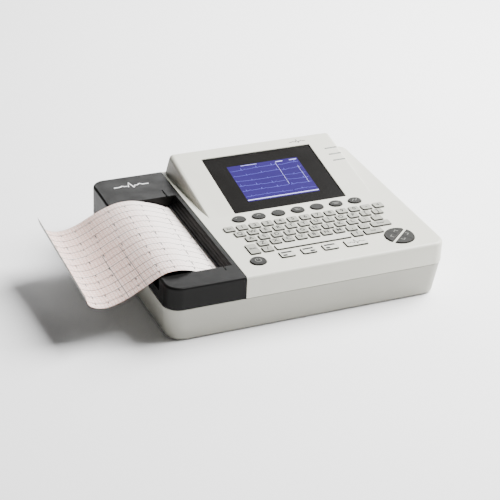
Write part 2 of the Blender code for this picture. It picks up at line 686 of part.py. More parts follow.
def platen():
    cylinder("platen_roller", PLATEN_R, 0.206, (PLATEN_X, 0.1437, PLATEN_W), "Y", "rubber", deck,
             sides=28)
    roller = bpy.data.objects["platen_roller"]
    boolean(roller, cylinder("platen_bore", SHAFT_R + GAP, 0.220, (PLATEN_X, 0.1437, PLATEN_W),
                             "Y", None, deck, sides=20))
    cylinder("platen_shaft", SHAFT_R, 0.2345, (PLATEN_X, 0.14575, PLATEN_W), "Y", "steel", deck,
             sides=20)
    for name, middle in (("platen_bearing_front", 0.0323), ("platen_bearing_back", 0.2543)):
        bush = cylinder(name, 0.0045, 0.0030, (PLATEN_X, middle, PLATEN_W), "Y", "brass", deck,
                        sides=20)
        boolean(bush, cylinder(name + "_bore", SHAFT_R + GAP, 0.010,
                               (PLATEN_X, middle, PLATEN_W), "Y", None, deck, sides=20))
    for name, front, back, foot in (("side_plate_front", 0.0310, 0.0335, -0.0805),
                                    ("side_plate_back", 0.2530, 0.2555, -0.0853)):
        plate = block(name, (0.0880, front, foot), (0.1085, back, -0.0145), "steel", deck)
        middle = (front + back) / 2
        boolean(plate, cylinder(name + "_hole", 0.0045 + GAP, 0.010,
                                (PLATEN_X, middle, PLATEN_W), "Y", None, deck, sides=20))


TRAY_LOW = (0.0140, 0.0335)
TRAY_HIGH = (0.0700, 0.2530)
SPINDLE_R = 0.0040


def paper_tray():
    """A trough round the roll, with an end wall at each side that carries the
    spindle in an open notch."""
    top = ROLL_W + 0.0020
    bottom = ROLL_W - ROLL_R - 0.0085
    inner = ROLL_R + 0.0012
    trough = [(TRAY_LOW[0], bottom), (TRAY_HIGH[0], bottom), (TRAY_HIGH[0], top),
              (ROLL_X + inner, top)]
    trough += arc((ROLL_X, ROLL_W), inner, 0.0, -math.pi, 16)
    trough += [(ROLL_X - inner, top), (TRAY_LOW[0], top)]
    tray = profile_along_y("paper_tray", trough, TRAY_LOW[1], TRAY_HIGH[1], "charcoal_plastic",
                           deck)
    notch = SPINDLE_R + GAP
    wall_low = ROLL_W - inner - 0.0005
    end = [(ROLL_X - inner - 0.0005, wall_low), (ROLL_X + inner + 0.0005, wall_low),
           (ROLL_X + inner + 0.0005, top), (ROLL_X + notch, top)]
    end += arc((ROLL_X, ROLL_W), notch, 0.0, -math.pi, 10)
    end += [(ROLL_X - notch, top), (ROLL_X - inner - 0.0005, top)]
    for name, front in (("tray_end_front", TRAY_LOW[1]), ("tray_end_back", TRAY_HIGH[1] - 0.002)):
        wall = profile_along_y(name, end, front, front + 0.002, None, deck)
        boolean(tray, wall, "UNION")


def roll():
    middle = PAPER_FRONT + PAPER_WIDTH / 2
    half = PAPER_WIDTH / 2
    tube = 0.0060
    turned("paper_roll", [(tube, half), (ROLL_R, half), (ROLL_R, -half), (tube, -half),
                          (tube, half)], (ROLL_X, middle, ROLL_W), "Y", "paper", deck, sides=36)
    length = TRAY_HIGH[1] - TRAY_LOW[1]
    cylinder("roll_spindle", SPINDLE_R, length, (ROLL_X, (TRAY_LOW[1] + TRAY_HIGH[1]) / 2, ROLL_W),
             "Y", "steel", deck, sides=20)


def thick_line(points, thickness):
    """Outline of an open line of points with a thickness, on its left side."""
    offset = []
    for index, point in enumerate(points):
        before = points[max(index - 1, 0)]
        after = points[min(index + 1, len(points) - 1)]
        along = Vector((after[0] - before[0], after[1] - before[1])).normalized()
        offset.append((point[0] - along.y * thickness, point[1] + along.x * thickness))
    return points + offset[::-1]


def paper_web():
    """The paper from the top of the roll, under the platen and up round it."""
    wrap = PLATEN_R + GAP + PAPER_THICK
    around = arc(PLATEN, wrap, math.radians(-100), math.radians(78), 16)
    start = (ROLL_X + 0.002, ROLL_W + ROLL_R + GAP)
    line = [start] + around
    profile_along_y("paper_web", thick_line(line, PAPER_THICK), PAPER_FRONT,
                    PAPER_FRONT + PAPER_WIDTH, "paper", deck)


# ---- Recorder lid and what moves with it -------------------------------------------
RECESS = [(-0.008, 0.006), (0.1062, 0.006), (0.1062, 0.0), (0.0984, -0.0145), (0.0974, -0.0240),
          (0.0920, -0.0240), (0.0920, -0.0200), (-0.008, -0.0200)]
RECESS_SKIN = [(-0.008, 0.006), (0.1086, 0.006), (0.1086, -0.0005), (0.1006, -0.0165),
               (0.0920, -0.0165), (0.0920, -0.0222), (-0.008, -0.0222)]
RAIL_BOTTOM = -0.0048


def recorder_lid():
    low = Vector((0.0008, 0.0004, SEAM_Z + GAP))
    high = Vector((SPLIT_X - GAP, DEPTH - 0.0004, DECK_FRONT_Z))
    outer = housing_mesh("recorder_lid", low, high, (0.022, 0, 0, 0.020), 6, deck_inset=0.0,
                         edge_radius=0.0015)
    lid = add_object("recorder_lid", outer, "charcoal_plastic", corner)

    inner = housing_mesh("lid_cavity", (low.x + WALL, low.y + WALL, low.z - 0.010),
                         (high.x + 0.010, high.y - WALL, high.z), (0.0195, 0, 0, 0.0175), 5,
                         deck_inset=WALL)
    cavity = add_object("lid_cavity", inner, None, corner)
    skin = profile_along_y("recess_skin", RECESS_SKIN, RECESS_FRONT - 0.0022,
                           RECESS_BACK + 0.0022, None, deck)
    boolean(cavity, skin)
    boolean(cavity, block("rail_core", (0.1062, -0.010, RAIL_BOTTOM), (0.130, DEPTH + 0.010, 0.010),
                          None, deck))
    boolean(lid, cavity)
    boolean(lid, profile_along_y("recess", RECESS, RECESS_FRONT, RECESS_BACK, None, deck))
    slits = [(0.0935, RECESS_FRONT - 0.0050, 0.0020, 0.012, -0.0012, 0.004),
             (0.0930, RECESS_BACK + 0.0090, 0.0020, 0.026, -0.0012, 0.004)]
    boolean(lid, blocks("arm_slits", slits, None, deck))
    boolean(lid, cylinder("rail_bore", HINGE_PIN_R + GAP, 0.312, (HINGE_X, 0.1640, HINGE_W), "Y",
                          None, deck, sides=12))
    notches = []
    for front, back in HINGE_EARS:
        left = HINGE_X - EAR_R - GAP
        right = SPLIT_X + 0.002
        notches.append(((left + right) / 2, (front + back) / 2, right - left,
                        back - front + 2 * GAP, RAIL_BOTTOM - 0.006, HINGE_W + EAR_R + GAP))
    boolean(lid, blocks("ear_notches", notches, None, deck))


def lid_fittings():
    cylinder("lid_hinge_pin", HINGE_PIN_R, 0.310, (HINGE_X, 0.1640, HINGE_W), "Y", "steel", deck,
             sides=12)
    head = [(0.1016, -0.0167), (0.1090, -0.0167), (0.1090, -0.0103), (0.1046, -0.0103),
            (0.1020, -0.0152)]
    profile_along_y("print_head", head, RECESS_FRONT + 0.0015, RECESS_BACK - 0.0015, "steel", deck)
    bar = [(0.0978, -0.0142), (0.0958, -0.0142), (0.0956, -0.0160), (0.0972, -0.0163)]
    profile_along_y("tear_bar", bar, RECESS_FRONT + GAP, RECESS_BACK - GAP, "charcoal_plastic",
                    deck)


STRIP_BACK = ((0.0998, 0.0698), (0.0922, 0.0702), (0.0727, 0.0789), (0.0430, 0.0884),
              (0.0226, 0.0902), (0.0038, 0.0871), (-0.0208, 0.0773), (-0.0410, 0.0669),
              (-0.0581, 0.0604), (-0.0753, 0.0587), (-0.0890, 0.0630), (-0.0985, 0.0722),
              (STRIP_END_X, 0.0866))
STRIP_FRONT = ((0.0998, 0.0652), (0.0922, 0.0656), (0.0727, 0.0740), (0.0430, 0.0848),
               (0.0226, 0.0872), (0.0055, 0.0837), (-0.0190, 0.0700), (-0.0400, 0.0588),
               (-0.0560, 0.0525), (-0.0721, 0.0492), (-0.0860, 0.0515), (-0.0962, 0.0580),
               (STRIP_END_X + 0.0012, 0.0696))
STRIP_COLUMNS = 6
STRIP_STEPS_BETWEEN = 2


def spline_point(points, span, t):
    """A Catmull-Rom point between points[span] and points[span + 1]."""
    p = [points[min(max(span + k, 0), len(points) - 1)] for k in (-1, 0, 1, 2)]
    return tuple(0.5 * (2 * p[1][i] + (p[2][i] - p[0][i]) * t
                        + (2 * p[0][i] - 5 * p[1][i] + 4 * p[2][i] - p[3][i]) * t * t
                        + (3 * p[1][i] - p[0][i] - 3 * p[2][i] + p[3][i]) * t ** 3)
                 for i in (0, 1))


def smooth_line(points, steps):
    line = [spline_point(points, span, step / steps)
            for span in range(len(points) - 1) for step in range(steps)]
    return line + [points[-1]]


def paper_strip():
    """The printed strip: a sheet between its front and back edge curves, which
    hang differently, so the sheet is slightly twisted."""
    front = smooth_line(STRIP_FRONT, STRIP_STEPS_BETWEEN)
    back = smooth_line(STRIP_BACK, STRIP_STEPS_BETWEEN)
    bm = bmesh.new()
    rows = len(front)
    bmesh.ops.create_grid(bm, x_segments=STRIP_COLUMNS, y_segments=rows - 1, size=1.0)
    bm.verts.ensure_lookup_table()
    for vert in bm.verts:
        across = (vert.co.x + 1) / 2
        index = round((vert.co.y + 1) / 2 * (rows - 1))
        x = front[index][0] + (back[index][0] - front[index][0]) * across
        z = front[index][1] + (back[index][1] - front[index][1]) * across
        vert.co = (x, PAPER_FRONT + PAPER_WIDTH * across, z)
    mesh = bpy.data.meshes.new("paper_strip")
    bm.to_mesh(mesh)
    bm.free()
    strip = add_object("paper_strip", mesh, "paper", corner)
    solid = strip.modifiers.new("thickness", "SOLIDIFY")
    solid.thickness = PAPER_THICK
    solid.offset = 0.0


# ---- Build ----------------------------------------------------------------------------
clear_scene()
parts = make_collection("electrocardiograph")
cutters = make_collection("cutters")
corner = make_empty("machine_corner", (-(WIDTH + STRIP_END_X) / 2, -DEPTH / 2, -GROUND_Z))
deck = make_empty("deck_plane", (0.0, 0.0, DECK_FRONT_Z), corner, DECK_ANGLE)
hood_plane = make_empty("hood_plane", (0.0, HOOD_Y, HOOD_Z), corner, HOOD_TILT)

lower_housing()
upper_housing()
feet()
display()
boards()
keyboard()
sockets()
mains_switch()
drive_train()
platen()
paper_tray()
roll()
paper_web()
recorder_lid()
lid_fittings()
paper_strip()
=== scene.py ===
"""Looks for the desktop electrocardiograph: fine housings, keys, display picture,
printed chart paper, materials, studio light and camera."""
import math

import bmesh
import bpy
from mathutils import Matrix, Vector


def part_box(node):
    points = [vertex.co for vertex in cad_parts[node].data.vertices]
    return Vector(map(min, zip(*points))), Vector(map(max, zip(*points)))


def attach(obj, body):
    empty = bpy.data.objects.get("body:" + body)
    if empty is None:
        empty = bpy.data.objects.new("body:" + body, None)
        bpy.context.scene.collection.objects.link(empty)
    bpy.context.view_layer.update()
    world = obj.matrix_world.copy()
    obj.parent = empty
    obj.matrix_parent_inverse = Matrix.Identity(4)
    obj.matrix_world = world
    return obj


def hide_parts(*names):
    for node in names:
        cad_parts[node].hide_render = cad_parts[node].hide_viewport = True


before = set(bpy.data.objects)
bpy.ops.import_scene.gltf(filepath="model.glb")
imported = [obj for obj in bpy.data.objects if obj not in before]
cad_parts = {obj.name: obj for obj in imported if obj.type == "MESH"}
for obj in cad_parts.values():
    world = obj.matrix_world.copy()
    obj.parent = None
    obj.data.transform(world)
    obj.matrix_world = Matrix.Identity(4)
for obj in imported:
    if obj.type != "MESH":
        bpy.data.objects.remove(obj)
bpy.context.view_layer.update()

# ---- Places, in metres, from the frame ----
MM = 0.001
housing_low, housing_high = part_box("lower_housing")
lid_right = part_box("recorder_lid")[1].x
WIDTH = housing_high.x - housing_low.x
DEPTH = housing_high.y - housing_low.y
# The machine's own zero height is this far above the ground.
RAISE = 3.0 * MM
CORNER = Matrix.Translation((housing_low.x, housing_low.y, RAISE))
DECK_FRONT_Z = 81.4 * MM
DECK_SLOPE = 7.2 / 330
DECK_ANGLE = math.atan(DECK_SLOPE)
HOOD_Y = 165.2 * MM
HOOD_TILT = 0.2
HOOD_Z = DECK_FRONT_Z + DECK_SLOPE * HOOD_Y
HOOD_SIDE_LEAN = 0.25
SEAM_Z = housing_high.z - RAISE
FLOOR_Z = housing_low.z - RAISE
DRAFT = 5.6 * MM
WALL = 2.5 * MM
GAP = 0.3 * MM
SPLIT_X = lid_right - housing_low.x + GAP
DECK = CORNER @ Matrix.Translation((0, 0, DECK_FRONT_Z)) @ Matrix.Rotation(DECK_ANGLE, 4, "X")
HOOD = CORNER @ Matrix.Translation((0, HOOD_Y, HOOD_Z)) @ Matrix.Rotation(HOOD_TILT, 4, "X")
# Left, front, right and back of the black window and of the picture, on the hood.
WINDOW = (166.4 * MM, 4.0 * MM, 344.7 * MM, 139.0 * MM)
WINDOW_CENTRE = ((WINDOW[0] + WINDOW[2]) / 2, (WINDOW[1] + WINDOW[3]) / 2)
WINDOW_SIZE = (WINDOW[2] - WINDOW[0], WINDOW[3] - WINDOW[1])
PANE_TOP = -1.4 * MM
LCD = (197.4 * MM, 26.7 * MM, 312.6 * MM, 113.1 * MM)
KEY_RISE = 2.0 * MM
KEY_FOOT = -4.5 * MM
OVERSHOOT = 5 * MM


# ---- Materials ----
DRIFT_SCALE = 14.0
GLOSS_SCALE = 60.0
GRAIN_DEPTH = 0.03 * MM
BRUSH_DEPTH = 0.02 * MM
BRUSH_STRETCH = (1, 60, 60)
DULL = 0.12


def new_material(name):
    material = bpy.data.materials.new(name)
    material.use_nodes = True
    tree = material.node_tree
    return material, tree, tree.nodes["Principled BSDF"]


def add_node(tree, kind, **values):
    node = tree.nodes.new(kind)
    for key, value in values.items():
        if key in node.inputs:
            node.inputs[key].default_value = value
        else:
            setattr(node, key, value)
    return node


def object_coords(tree):
    return tree.nodes.new("ShaderNodeTexCoord").outputs["Object"]


def feed(tree, socket, value):
    """Link a socket to another, or give it a number or a colour."""
    if isinstance(value, bpy.types.NodeSocket):
        tree.links.new(value, socket)
    elif isinstance(value, tuple):
        socket.default_value = (*value, 1.0)
    else:
        socket.default_value = value


def calculate(tree, operation, *terms, clamp=False):
    """A math node over sockets and numbers."""
    node = add_node(tree, "ShaderNodeMath", operation=operation, use_clamp=clamp)
    for socket, term in zip(node.inputs, terms):
        feed(tree, socket, term)
    return node.outputs[0]


def noise(tree, scale, detail=3.0):
    node = add_node(tree, "ShaderNodeTexNoise", Scale=scale, Detail=detail)
    tree.links.new(object_coords(tree), node.inputs["Vector"])
    return node.outputs["Fac"]


def map_range(tree, value, start, end):
    """Map a value from the start range to the end range, and clamp it there."""
    node = tree.nodes.new("ShaderNodeMapRange")
    for name, number in zip(("From Min", "From Max", "To Min", "To Max"), (*start, *end)):
        node.inputs[name].default_value = number
    tree.links.new(value, node.inputs["Value"])
    return node.outputs["Result"]


def spread(tree, value, low, high):
    """Map the middle of a noise to the range low to high."""
    return map_range(tree, value, (0.3, 0.7), (low, high))


def tint(tree, factor, dark, light):
    """Mix two colours, each given as a colour or a socket."""
    node = tree.nodes.new("ShaderNodeMix")
    node.data_type = "RGBA"
    feed(tree, node.inputs[6], dark)
    feed(tree, node.inputs[7], light)
    feed(tree, node.inputs[0], factor)
    return node.outputs[2]


def bump(tree, shader, height, strength, distance):
    node = add_node(tree, "ShaderNodeBump", Strength=strength, Distance=distance)
    tree.links.new(height, node.inputs["Height"])
    tree.links.new(node.outputs["Normal"], shader.inputs["Normal"])


def shade(colour, factor):
    return tuple(channel * factor for channel in colour)


def moulded(name, colour, roughness, grain=2600.0, strength=0.35, coat=0.0, variation=0.03,
            specular=0.5):
    """Injection-moulded plastic: fine spark texture, slight tone and gloss drift."""
    material, tree, shader = new_material(name)
    drift = noise(tree, DRIFT_SCALE)
    fine = noise(tree, grain, detail=2.0)
    colour_out = tint(tree, drift, shade(colour, 1 - variation), shade(colour, 1 + variation))
    gloss = spread(tree, noise(tree, GLOSS_SCALE), roughness - 0.05, roughness + 0.05)
    feed(tree, shader.inputs["Base Color"], colour_out)
    feed(tree, shader.inputs["Roughness"], gloss)
    bump(tree, shader, fine, strength, GRAIN_DEPTH)
    shader.inputs["Specular IOR Level"].default_value = specular
    shader.inputs["Coat Weight"].default_value = coat
    shader.inputs["Coat Roughness"].default_value = 0.25
    return material


def metal(name, colour, roughness):
    """Brushed or turned metal, its fine lines running along the first axis."""
    material, tree, shader = new_material(name)
    mapping = tree.nodes.new("ShaderNodeMapping")
    mapping.inputs["Scale"].default_value = BRUSH_STRETCH
    tree.links.new(object_coords(tree), mapping.inputs["Vector"])
    lines = add_node(tree, "ShaderNodeTexNoise", Scale=40.0, Detail=4.0)
    tree.links.new(mapping.outputs["Vector"], lines.inputs["Vector"])
    brushed = lines.outputs["Fac"]
    feed(tree, shader.inputs["Base Color"], tint(tree, brushed, shade(colour, 0.88), colour))
    feed(tree, shader.inputs["Roughness"],
         spread(tree, brushed, roughness - 0.07, roughness + 0.07))
    shader.inputs["Metallic"].default_value = 1.0
    bump(tree, shader, brushed, 0.15, BRUSH_DEPTH)
    return material


def glossy_black(name, colour, roughness):
    """Dark acrylic with faint smears."""
    material, tree, shader = new_material(name)
    smear = noise(tree, 25.0, detail=4.0)
    feed(tree, shader.inputs["Base Color"],
         tint(tree, smear, shade(colour, 0.95), shade(colour, 1.05)))
    feed(tree, shader.inputs["Roughness"], spread(tree, smear, roughness, roughness + 0.02))
    bump(tree, shader, noise(tree, 90.0), 0.01, BRUSH_DEPTH)
    shader.inputs["Specular IOR Level"].default_value = DULL
    return material


def screen(name, colour, glow):
    """A lit liquid crystal area: a faint row pattern over a soft backlight."""
    material, tree, shader = new_material(name)
    rows = add_node(tree, "ShaderNodeTexWave", Scale=500.0, Distortion=0.0)
    rows.bands_direction = "Y"
    tree.links.new(object_coords(tree), rows.inputs["Vector"])
    lit = spread(tree, noise(tree, 16.0, detail=1.0), 0.0, 1.0)
    mixed = calculate(tree, "MULTIPLY_ADD", rows.outputs["Fac"], 0.25, lit)
    out = tint(tree, mixed, shade(colour, 0.92), shade(colour, 1.06))
    feed(tree, shader.inputs["Base Color"], out)
    feed(tree, shader.inputs["Emission Color"], out)
    shader.inputs["Emission Strength"].default_value = glow
    shader.inputs["Roughness"].default_value = 0.25
    shader.inputs["Specular IOR Level"].default_value = DULL
    return material


def chart_paper(name):
    """Thermal chart paper: a fine pink grid every 1 mm, a heavier one every 5 mm, which both get
    denser along the sheet; their paleness near the exit is a painted highlight for the glare there.
    Its UVs are metres across and along."""
    material, tree, shader = new_material(name)
    uv = tree.nodes.new("ShaderNodeUVMap")
    split = tree.nodes.new("ShaderNodeSeparateXYZ")
    tree.links.new(uv.outputs["UV"], split.inputs["Vector"])

    def grid(pitch, width, weight):
        """The weight on the lines of a square grid of that pitch, 0 between them."""
        found = []
        for axis in ("X", "Y"):
            cell = calculate(tree, "DIVIDE", split.outputs[axis], pitch)
            away = calculate(tree, "PINGPONG", cell, 0.5)
            found.append(calculate(tree, "LESS_THAN", away, width / pitch / 2))
        return calculate(tree, "MULTIPLY", calculate(tree, "MAXIMUM", *found), weight)

    both = calculate(tree, "MAXIMUM", grid(1.0 * MM, 0.24 * MM, 0.36), grid(5.0 * MM, 0.55 * MM, 0.75))
    # Painted highlight: the grid is paler near the exit, as if glare lay there, and at full strength
    # from 130 mm along on.
    exit_glare_fade = map_range(tree, split.outputs["Y"], (50 * MM, 130 * MM), (0.45, 2.20))
    density = calculate(tree, "MULTIPLY", both, exit_glare_fade, clamp=True)
    blank = tint(tree, noise(tree, 30.0), (0.955, 0.895, 0.855), (0.975, 0.93, 0.895))
    feed(tree, shader.inputs["Base Color"], tint(tree, density, blank, (0.46, 0.13, 0.045)))
    shader.inputs["Roughness"].default_value = 0.62
    shader.inputs["Sheen Weight"].default_value = 0.05
    bump(tree, shader, noise(tree, 900.0, detail=4.0), 0.12, GRAIN_DEPTH)
    return material


WHITE = moulded("white_plastic", (0.60, 0.595, 0.52), 0.42)
WARM_GREY = moulded("warm_grey_plastic", (0.37, 0.365, 0.32), 0.50)
CHARCOAL = moulded("charcoal_plastic", (0.004, 0.004, 0.0037), 0.42, grain=1800.0, strength=0.45,
                   variation=0.08, specular=DULL)
DARK_GUIDE = moulded("guide_plastic", (0.003, 0.003, 0.003), 0.50, strength=0.1, specular=DULL)
KEY_PALE = moulded("pale_key_rubber", (0.29, 0.29, 0.25), 0.62, grain=1500.0, variation=0.05)
# Painted shade: the sides of the keys and of the mat are dark to stand for the shade in the gaps; the
# rubber is really one colour.
KEY_SIDE_SHADE = moulded("key_side_painted_shade", (0.030, 0.030, 0.026), 0.70, grain=1500.0, variation=0.05)
KEY_DARK = moulded("dark_key_rubber", (0.015, 0.015, 0.013), 0.55, grain=1500.0, variation=0.08,
                   specular=0.20)
KEY_WHITE = moulded("white_key_rubber", (0.54, 0.54, 0.48), 0.60, grain=1500.0, variation=0.04)
# Black print for legends and marks, also used for the painted shade of the arrow keys' grooves.
LEGEND_AND_GROOVE_SHADE = moulded("legend_ink_and_groove_shade", (0.004, 0.004, 0.004), 0.60, specular=0.2)
PALE_INK = moulded("pale_ink", (0.86, 0.86, 0.86), 0.50)
# Pale grey print on the dark keys, also used for one painted highlight on the first function key.
GREY_INK_AND_PAINTED_GLINT = moulded("grey_ink_and_painted_glint", (0.15, 0.15, 0.135), 0.55)
WINDOW_BLACK = glossy_black("window_acrylic", (0.006, 0.0055, 0.005), 0.24)
SCREEN_BLUE = screen("screen_blue", (0.019, 0.011, 0.090), 0.35)
SCREEN_PALE = screen("screen_pale", (0.42, 0.43, 0.85), 0.80)
SCREEN_TRACE = screen("screen_trace", (0.070, 0.070, 0.36), 0.70)
PAPER = chart_paper("chart_paper")
# Painted shade: the strip's back side is grey to stand for the shade on it; the paper itself is pale
# on both sides.
PAPER_BACK_SHADE = moulded("paper_back_painted_shade", (0.44, 0.425, 0.41), 0.70, grain=900.0, strength=0.15)
PLAIN_PAPER = moulded("plain_paper", (0.84, 0.80, 0.78), 0.65, grain=900.0, strength=0.15)
PRINT_GREY = moulded("thermal_print", (0.045, 0.052, 0.052), 0.70)
RULE_GREY = moulded("thermal_rule", (0.030, 0.030, 0.034), 0.70)
LENS = moulded("indicator_lens", (0.030, 0.045, 0.038), 0.25, coat=0.4)
STEEL = metal("zinc_steel", (0.60, 0.60, 0.61), 0.32)
NICKEL = metal("nickel_shell", (0.30, 0.295, 0.29), 0.30)
BRASS = metal("turned_brass", (0.72, 0.52, 0.24), 0.28)
BLACK = moulded("socket_black", (0.020, 0.020, 0.021), 0.40)
RUBBER = moulded("foot_rubber", (0.030, 0.030, 0.030), 0.78, grain=900.0)
NYLON = moulded("gear_nylon", (0.72, 0.70, 0.62), 0.48)
BOARD = moulded("solder_mask", (0.020, 0.105, 0.045), 0.35, coat=0.3)
WRAP = moulded("battery_wrap", (0.030, 0.050, 0.140), 0.30, coat=0.3)

NODE_MATERIALS = {
    WHITE: ("upper_housing",), WARM_GREY: ("lower_housing", "battery_cover"),
    CHARCOAL: ("recorder_lid", "paper_tray"), DARK_GUIDE: ("tear_bar",),
    WINDOW_BLACK: ("display_window",), SCREEN_BLUE: ("lcd_module",),
    BOARD: ("main_board", "keypad_board"), WRAP: ("battery_pack",),
    NICKEL: ("serial_port", "usb_port", "patient_cable_socket"),
    STEEL: ("power_supply", "motor_bracket", "stepper_motor", "side_plate_front",
            "side_plate_back", "lid_hinge_pin", "print_head", "platen_shaft", "roll_spindle"),
    BRASS: ("equipotential_stud", "platen_bearing_front", "platen_bearing_back"),
    BLACK: ("mains_inlet", "mains_switch_frame", "mains_rocker"),
    RUBBER: ("foot_front_left", "foot_front_right", "foot_back_left", "foot_back_right",
             "platen_roller"),
    NYLON: ("platen_gear", "idler_gear", "motor_pinion"),
    PLAIN_PAPER: ("paper_roll", "paper_web"), LENS: ("indicator_1", "indicator_2", "indicator_3"),
    KEY_DARK: ("keypad_mat",),
}
for material, names in NODE_MATERIALS.items():
    for name in names:
        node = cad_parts[name]
        node.data.materials.clear()
        node.data.materials.append(material)

SOFTENED = ("mains_rocker", "mains_switch_frame", "mains_inlet", "serial_port", "usb_port",
            "patient_cable_socket", "battery_cover", "paper_tray", "tear_bar", "print_head",
            "motor_bracket", "side_plate_front", "side_plate_back", "stepper_motor",
            "power_supply", "battery_pack")
for name in SOFTENED:
    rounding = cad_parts[name].modifiers.new("rounding", "BEVEL")
    rounding.width = 0.25 * MM
    rounding.segments = 2
    rounding.limit_method = "ANGLE"
    rounding.angle_limit = math.radians(40)
    rounding.harden_normals = True


# ---- Mesh helpers ----
def finish_mesh(bm, name, sharp):
    bmesh.ops.recalc_face_normals(bm, faces=bm.faces)
    mesh = bpy.data.meshes.new(name)
    bm.to_mesh(mesh)
    bm.free()
    mesh.shade_smooth()
    mesh.set_sharp_from_angle(angle=math.radians(sharp))
    return mesh


def add_piece(name, mesh, material, body, place, replaced=(), slot=None, second=None):
    """Link a mesh as a piece that rides on a body. Its faces with a material
    index of 1 take the second material."""
    obj = bpy.data.objects.new(name, mesh)
    bpy.context.scene.collection.objects.link(obj)
    obj.matrix_world = place
    indices = [polygon.material_index for polygon in mesh.polygons]
    mesh.materials.clear()
    mesh.materials.append(material)
    if second:
        mesh.materials.append(second)
        mesh.polygons.foreach_set("material_index", indices)
    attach(obj, body)
    if replaced:
        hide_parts(*replaced)
    return obj


def add_part(name, bm, *rest, sharp=35.0):
    """Link bm as a piece, smooth but for the edges that turn more than sharp."""
    return add_piece(name, finish_mesh(bm, name, sharp), *rest)


def loose(name, bm, place):
    """A working object that holds bm."""
    mesh = bpy.data.meshes.new(name)
    bm.to_mesh(mesh)
    bm.free()
    obj = bpy.data.objects.new(name, mesh)
    bpy.context.scene.collection.objects.link(obj)
    obj.matrix_world = place
    return obj


def cutter(name, bm, place):
    bmesh.ops.recalc_face_normals(bm, faces=bm.faces)
    return loose(name, bm, place)


def arc(centre, radius, start, end, steps):
    return [(centre[0] + radius * math.cos(start + (end - start) * i / steps),
             centre[1] + radius * math.sin(start + (end - start) * i / steps))
            for i in range(steps + 1)]


def rounded_rectangle(centre, width, depth, radius, grow=0.0, steps=5):
    """Outline of a rounded rectangle, anticlockwise; grow widens it all round."""
    radius = max(radius + grow, 0.05 * MM)
    right = width / 2 + grow - radius
    back = depth / 2 + grow - radius
    outline = []
    for sx, sy, start in ((1, 1, 0), (-1, 1, 90), (-1, -1, 180), (1, -1, 270)):
        corner = (centre[0] + sx * right, centre[1] + sy * back)
        outline += arc(corner, radius, math.radians(start), math.radians(start + 90), steps)
    return outline


def loft(bm, rings, skirt=0):
    """Join rings of equal length, given from the bottom up as (outline, z). The first bands, skirt in
    all, take the second material, which on the keys and the key mat is a dark painted shade."""
    loops = [[bm.verts.new((x, y, z)) for x, y in outline] for outline, z in rings]
    for band, (lower, upper) in enumerate(zip(loops, loops[1:])):
        for i in range(len(lower)):
            j = (i + 1) % len(lower)
            face = bm.faces.new((lower[i], lower[j], upper[j], upper[i]))
            face.material_index = 1 if band < skirt else 0
    bm.faces.new(loops[0][::-1]).material_index = 1 if skirt else 0
    bm.faces.new(loops[-1])


# Bands at the foot of each key, its sides, which take the dark painted shade.
KEY_SKIRT = 3


def key_rings(outline, size, foot=KEY_FOOT, edge=0.9 * MM, crown=0.25 * MM):
    """Rings for a soft key: straight sides, a rounded edge and a slight crown."""
    rings = [(outline(0.0), foot), (outline(0.0), KEY_RISE - edge)]
    for step in (1, 2, 3):
        turn = step * math.pi / 6
        rings.append((outline(-edge * (1 - math.cos(turn))),
                      KEY_RISE - edge * (1 - math.sin(turn))))
    rings[-1] = (rings[-1][0], KEY_RISE - crown)
    rings.append((outline(-size * 0.22), KEY_RISE - crown * 0.25))
    rings.append((outline(-size * 0.38), KEY_RISE))
    return rings


def opening_rings(outline, bottom, chamfer):
    """Rings for an opening with a chamfered edge."""
    return [(outline(0.0), bottom), (outline(0.0), -chamfer), (outline(3 * chamfer), 2 * chamfer)]


def flat_wire(bm, points, normals, width, thickness):
    """A closed flat line along points: width across it, thickness along normals."""
    rows = []
    for index, point in enumerate(points):
        before = points[max(index - 1, 0)]
        after = points[min(index + 1, len(points) - 1)]
        normal = normals[index] if isinstance(normals, list) else normals
        side = (after - before).cross(normal).normalized() * (width / 2)
        lift = normal.normalized() * thickness
        rows.append([bm.verts.new(p) for p in (point - side, point + side, point + side + lift,
                                               point - side + lift)])
    for first, second in zip(rows, rows[1:]):
        for i in range(4):
            j = (i + 1) % 4
            bm.faces.new((first[i], first[j], second[j], second[i]))
    bm.faces.new(rows[0][::-1])
    bm.faces.new(rows[-1])


def boolean(target, operand, operation="DIFFERENCE"):
    modifier = target.modifiers.new(operation.lower(), "BOOLEAN")
    modifier.operation = operation
    modifier.solver = "EXACT"
    modifier.object = operand


def settle(target, operands, name):
    """Apply the modifiers of target and drop the operands; returns the mesh in
    the target's own coordinates."""
    bpy.context.view_layer.update()
    evaluated = target.evaluated_get(bpy.context.evaluated_depsgraph_get())
    mesh = bpy.data.meshes.new_from_object(evaluated)
    mesh.name = name
    for obj in [target, *operands]:
        bpy.data.objects.remove(obj, do_unlink=True)
    return mesh


def box_mesh(low, high):
    bm = bmesh.new()
    bmesh.ops.create_cube(bm, size=1.0)
    bmesh.ops.scale(bm, vec=high - low, verts=bm.verts)
    bmesh.ops.translate(bm, vec=(low + high) / 2, verts=bm.verts)
    return bm


def edges_at(bm, x=None, y=None, z=None):
    """The edges that lie wholly at the given x, y or z."""
    wanted = [(axis, value) for axis, value in enumerate((x, y, z)) if value is not None]
    return [edge for edge in bm.edges
            if all(abs(vert.co[axis] - value) < 1e-6 for vert in edge.verts
                   for axis, value in wanted)]


def bevel(bm, edges, radius, segments):
    bmesh.ops.bevel(bm, geom=edges, offset=radius, segments=segments, profile=0.5,
                    affect="EDGES", clamp_overlap=True)


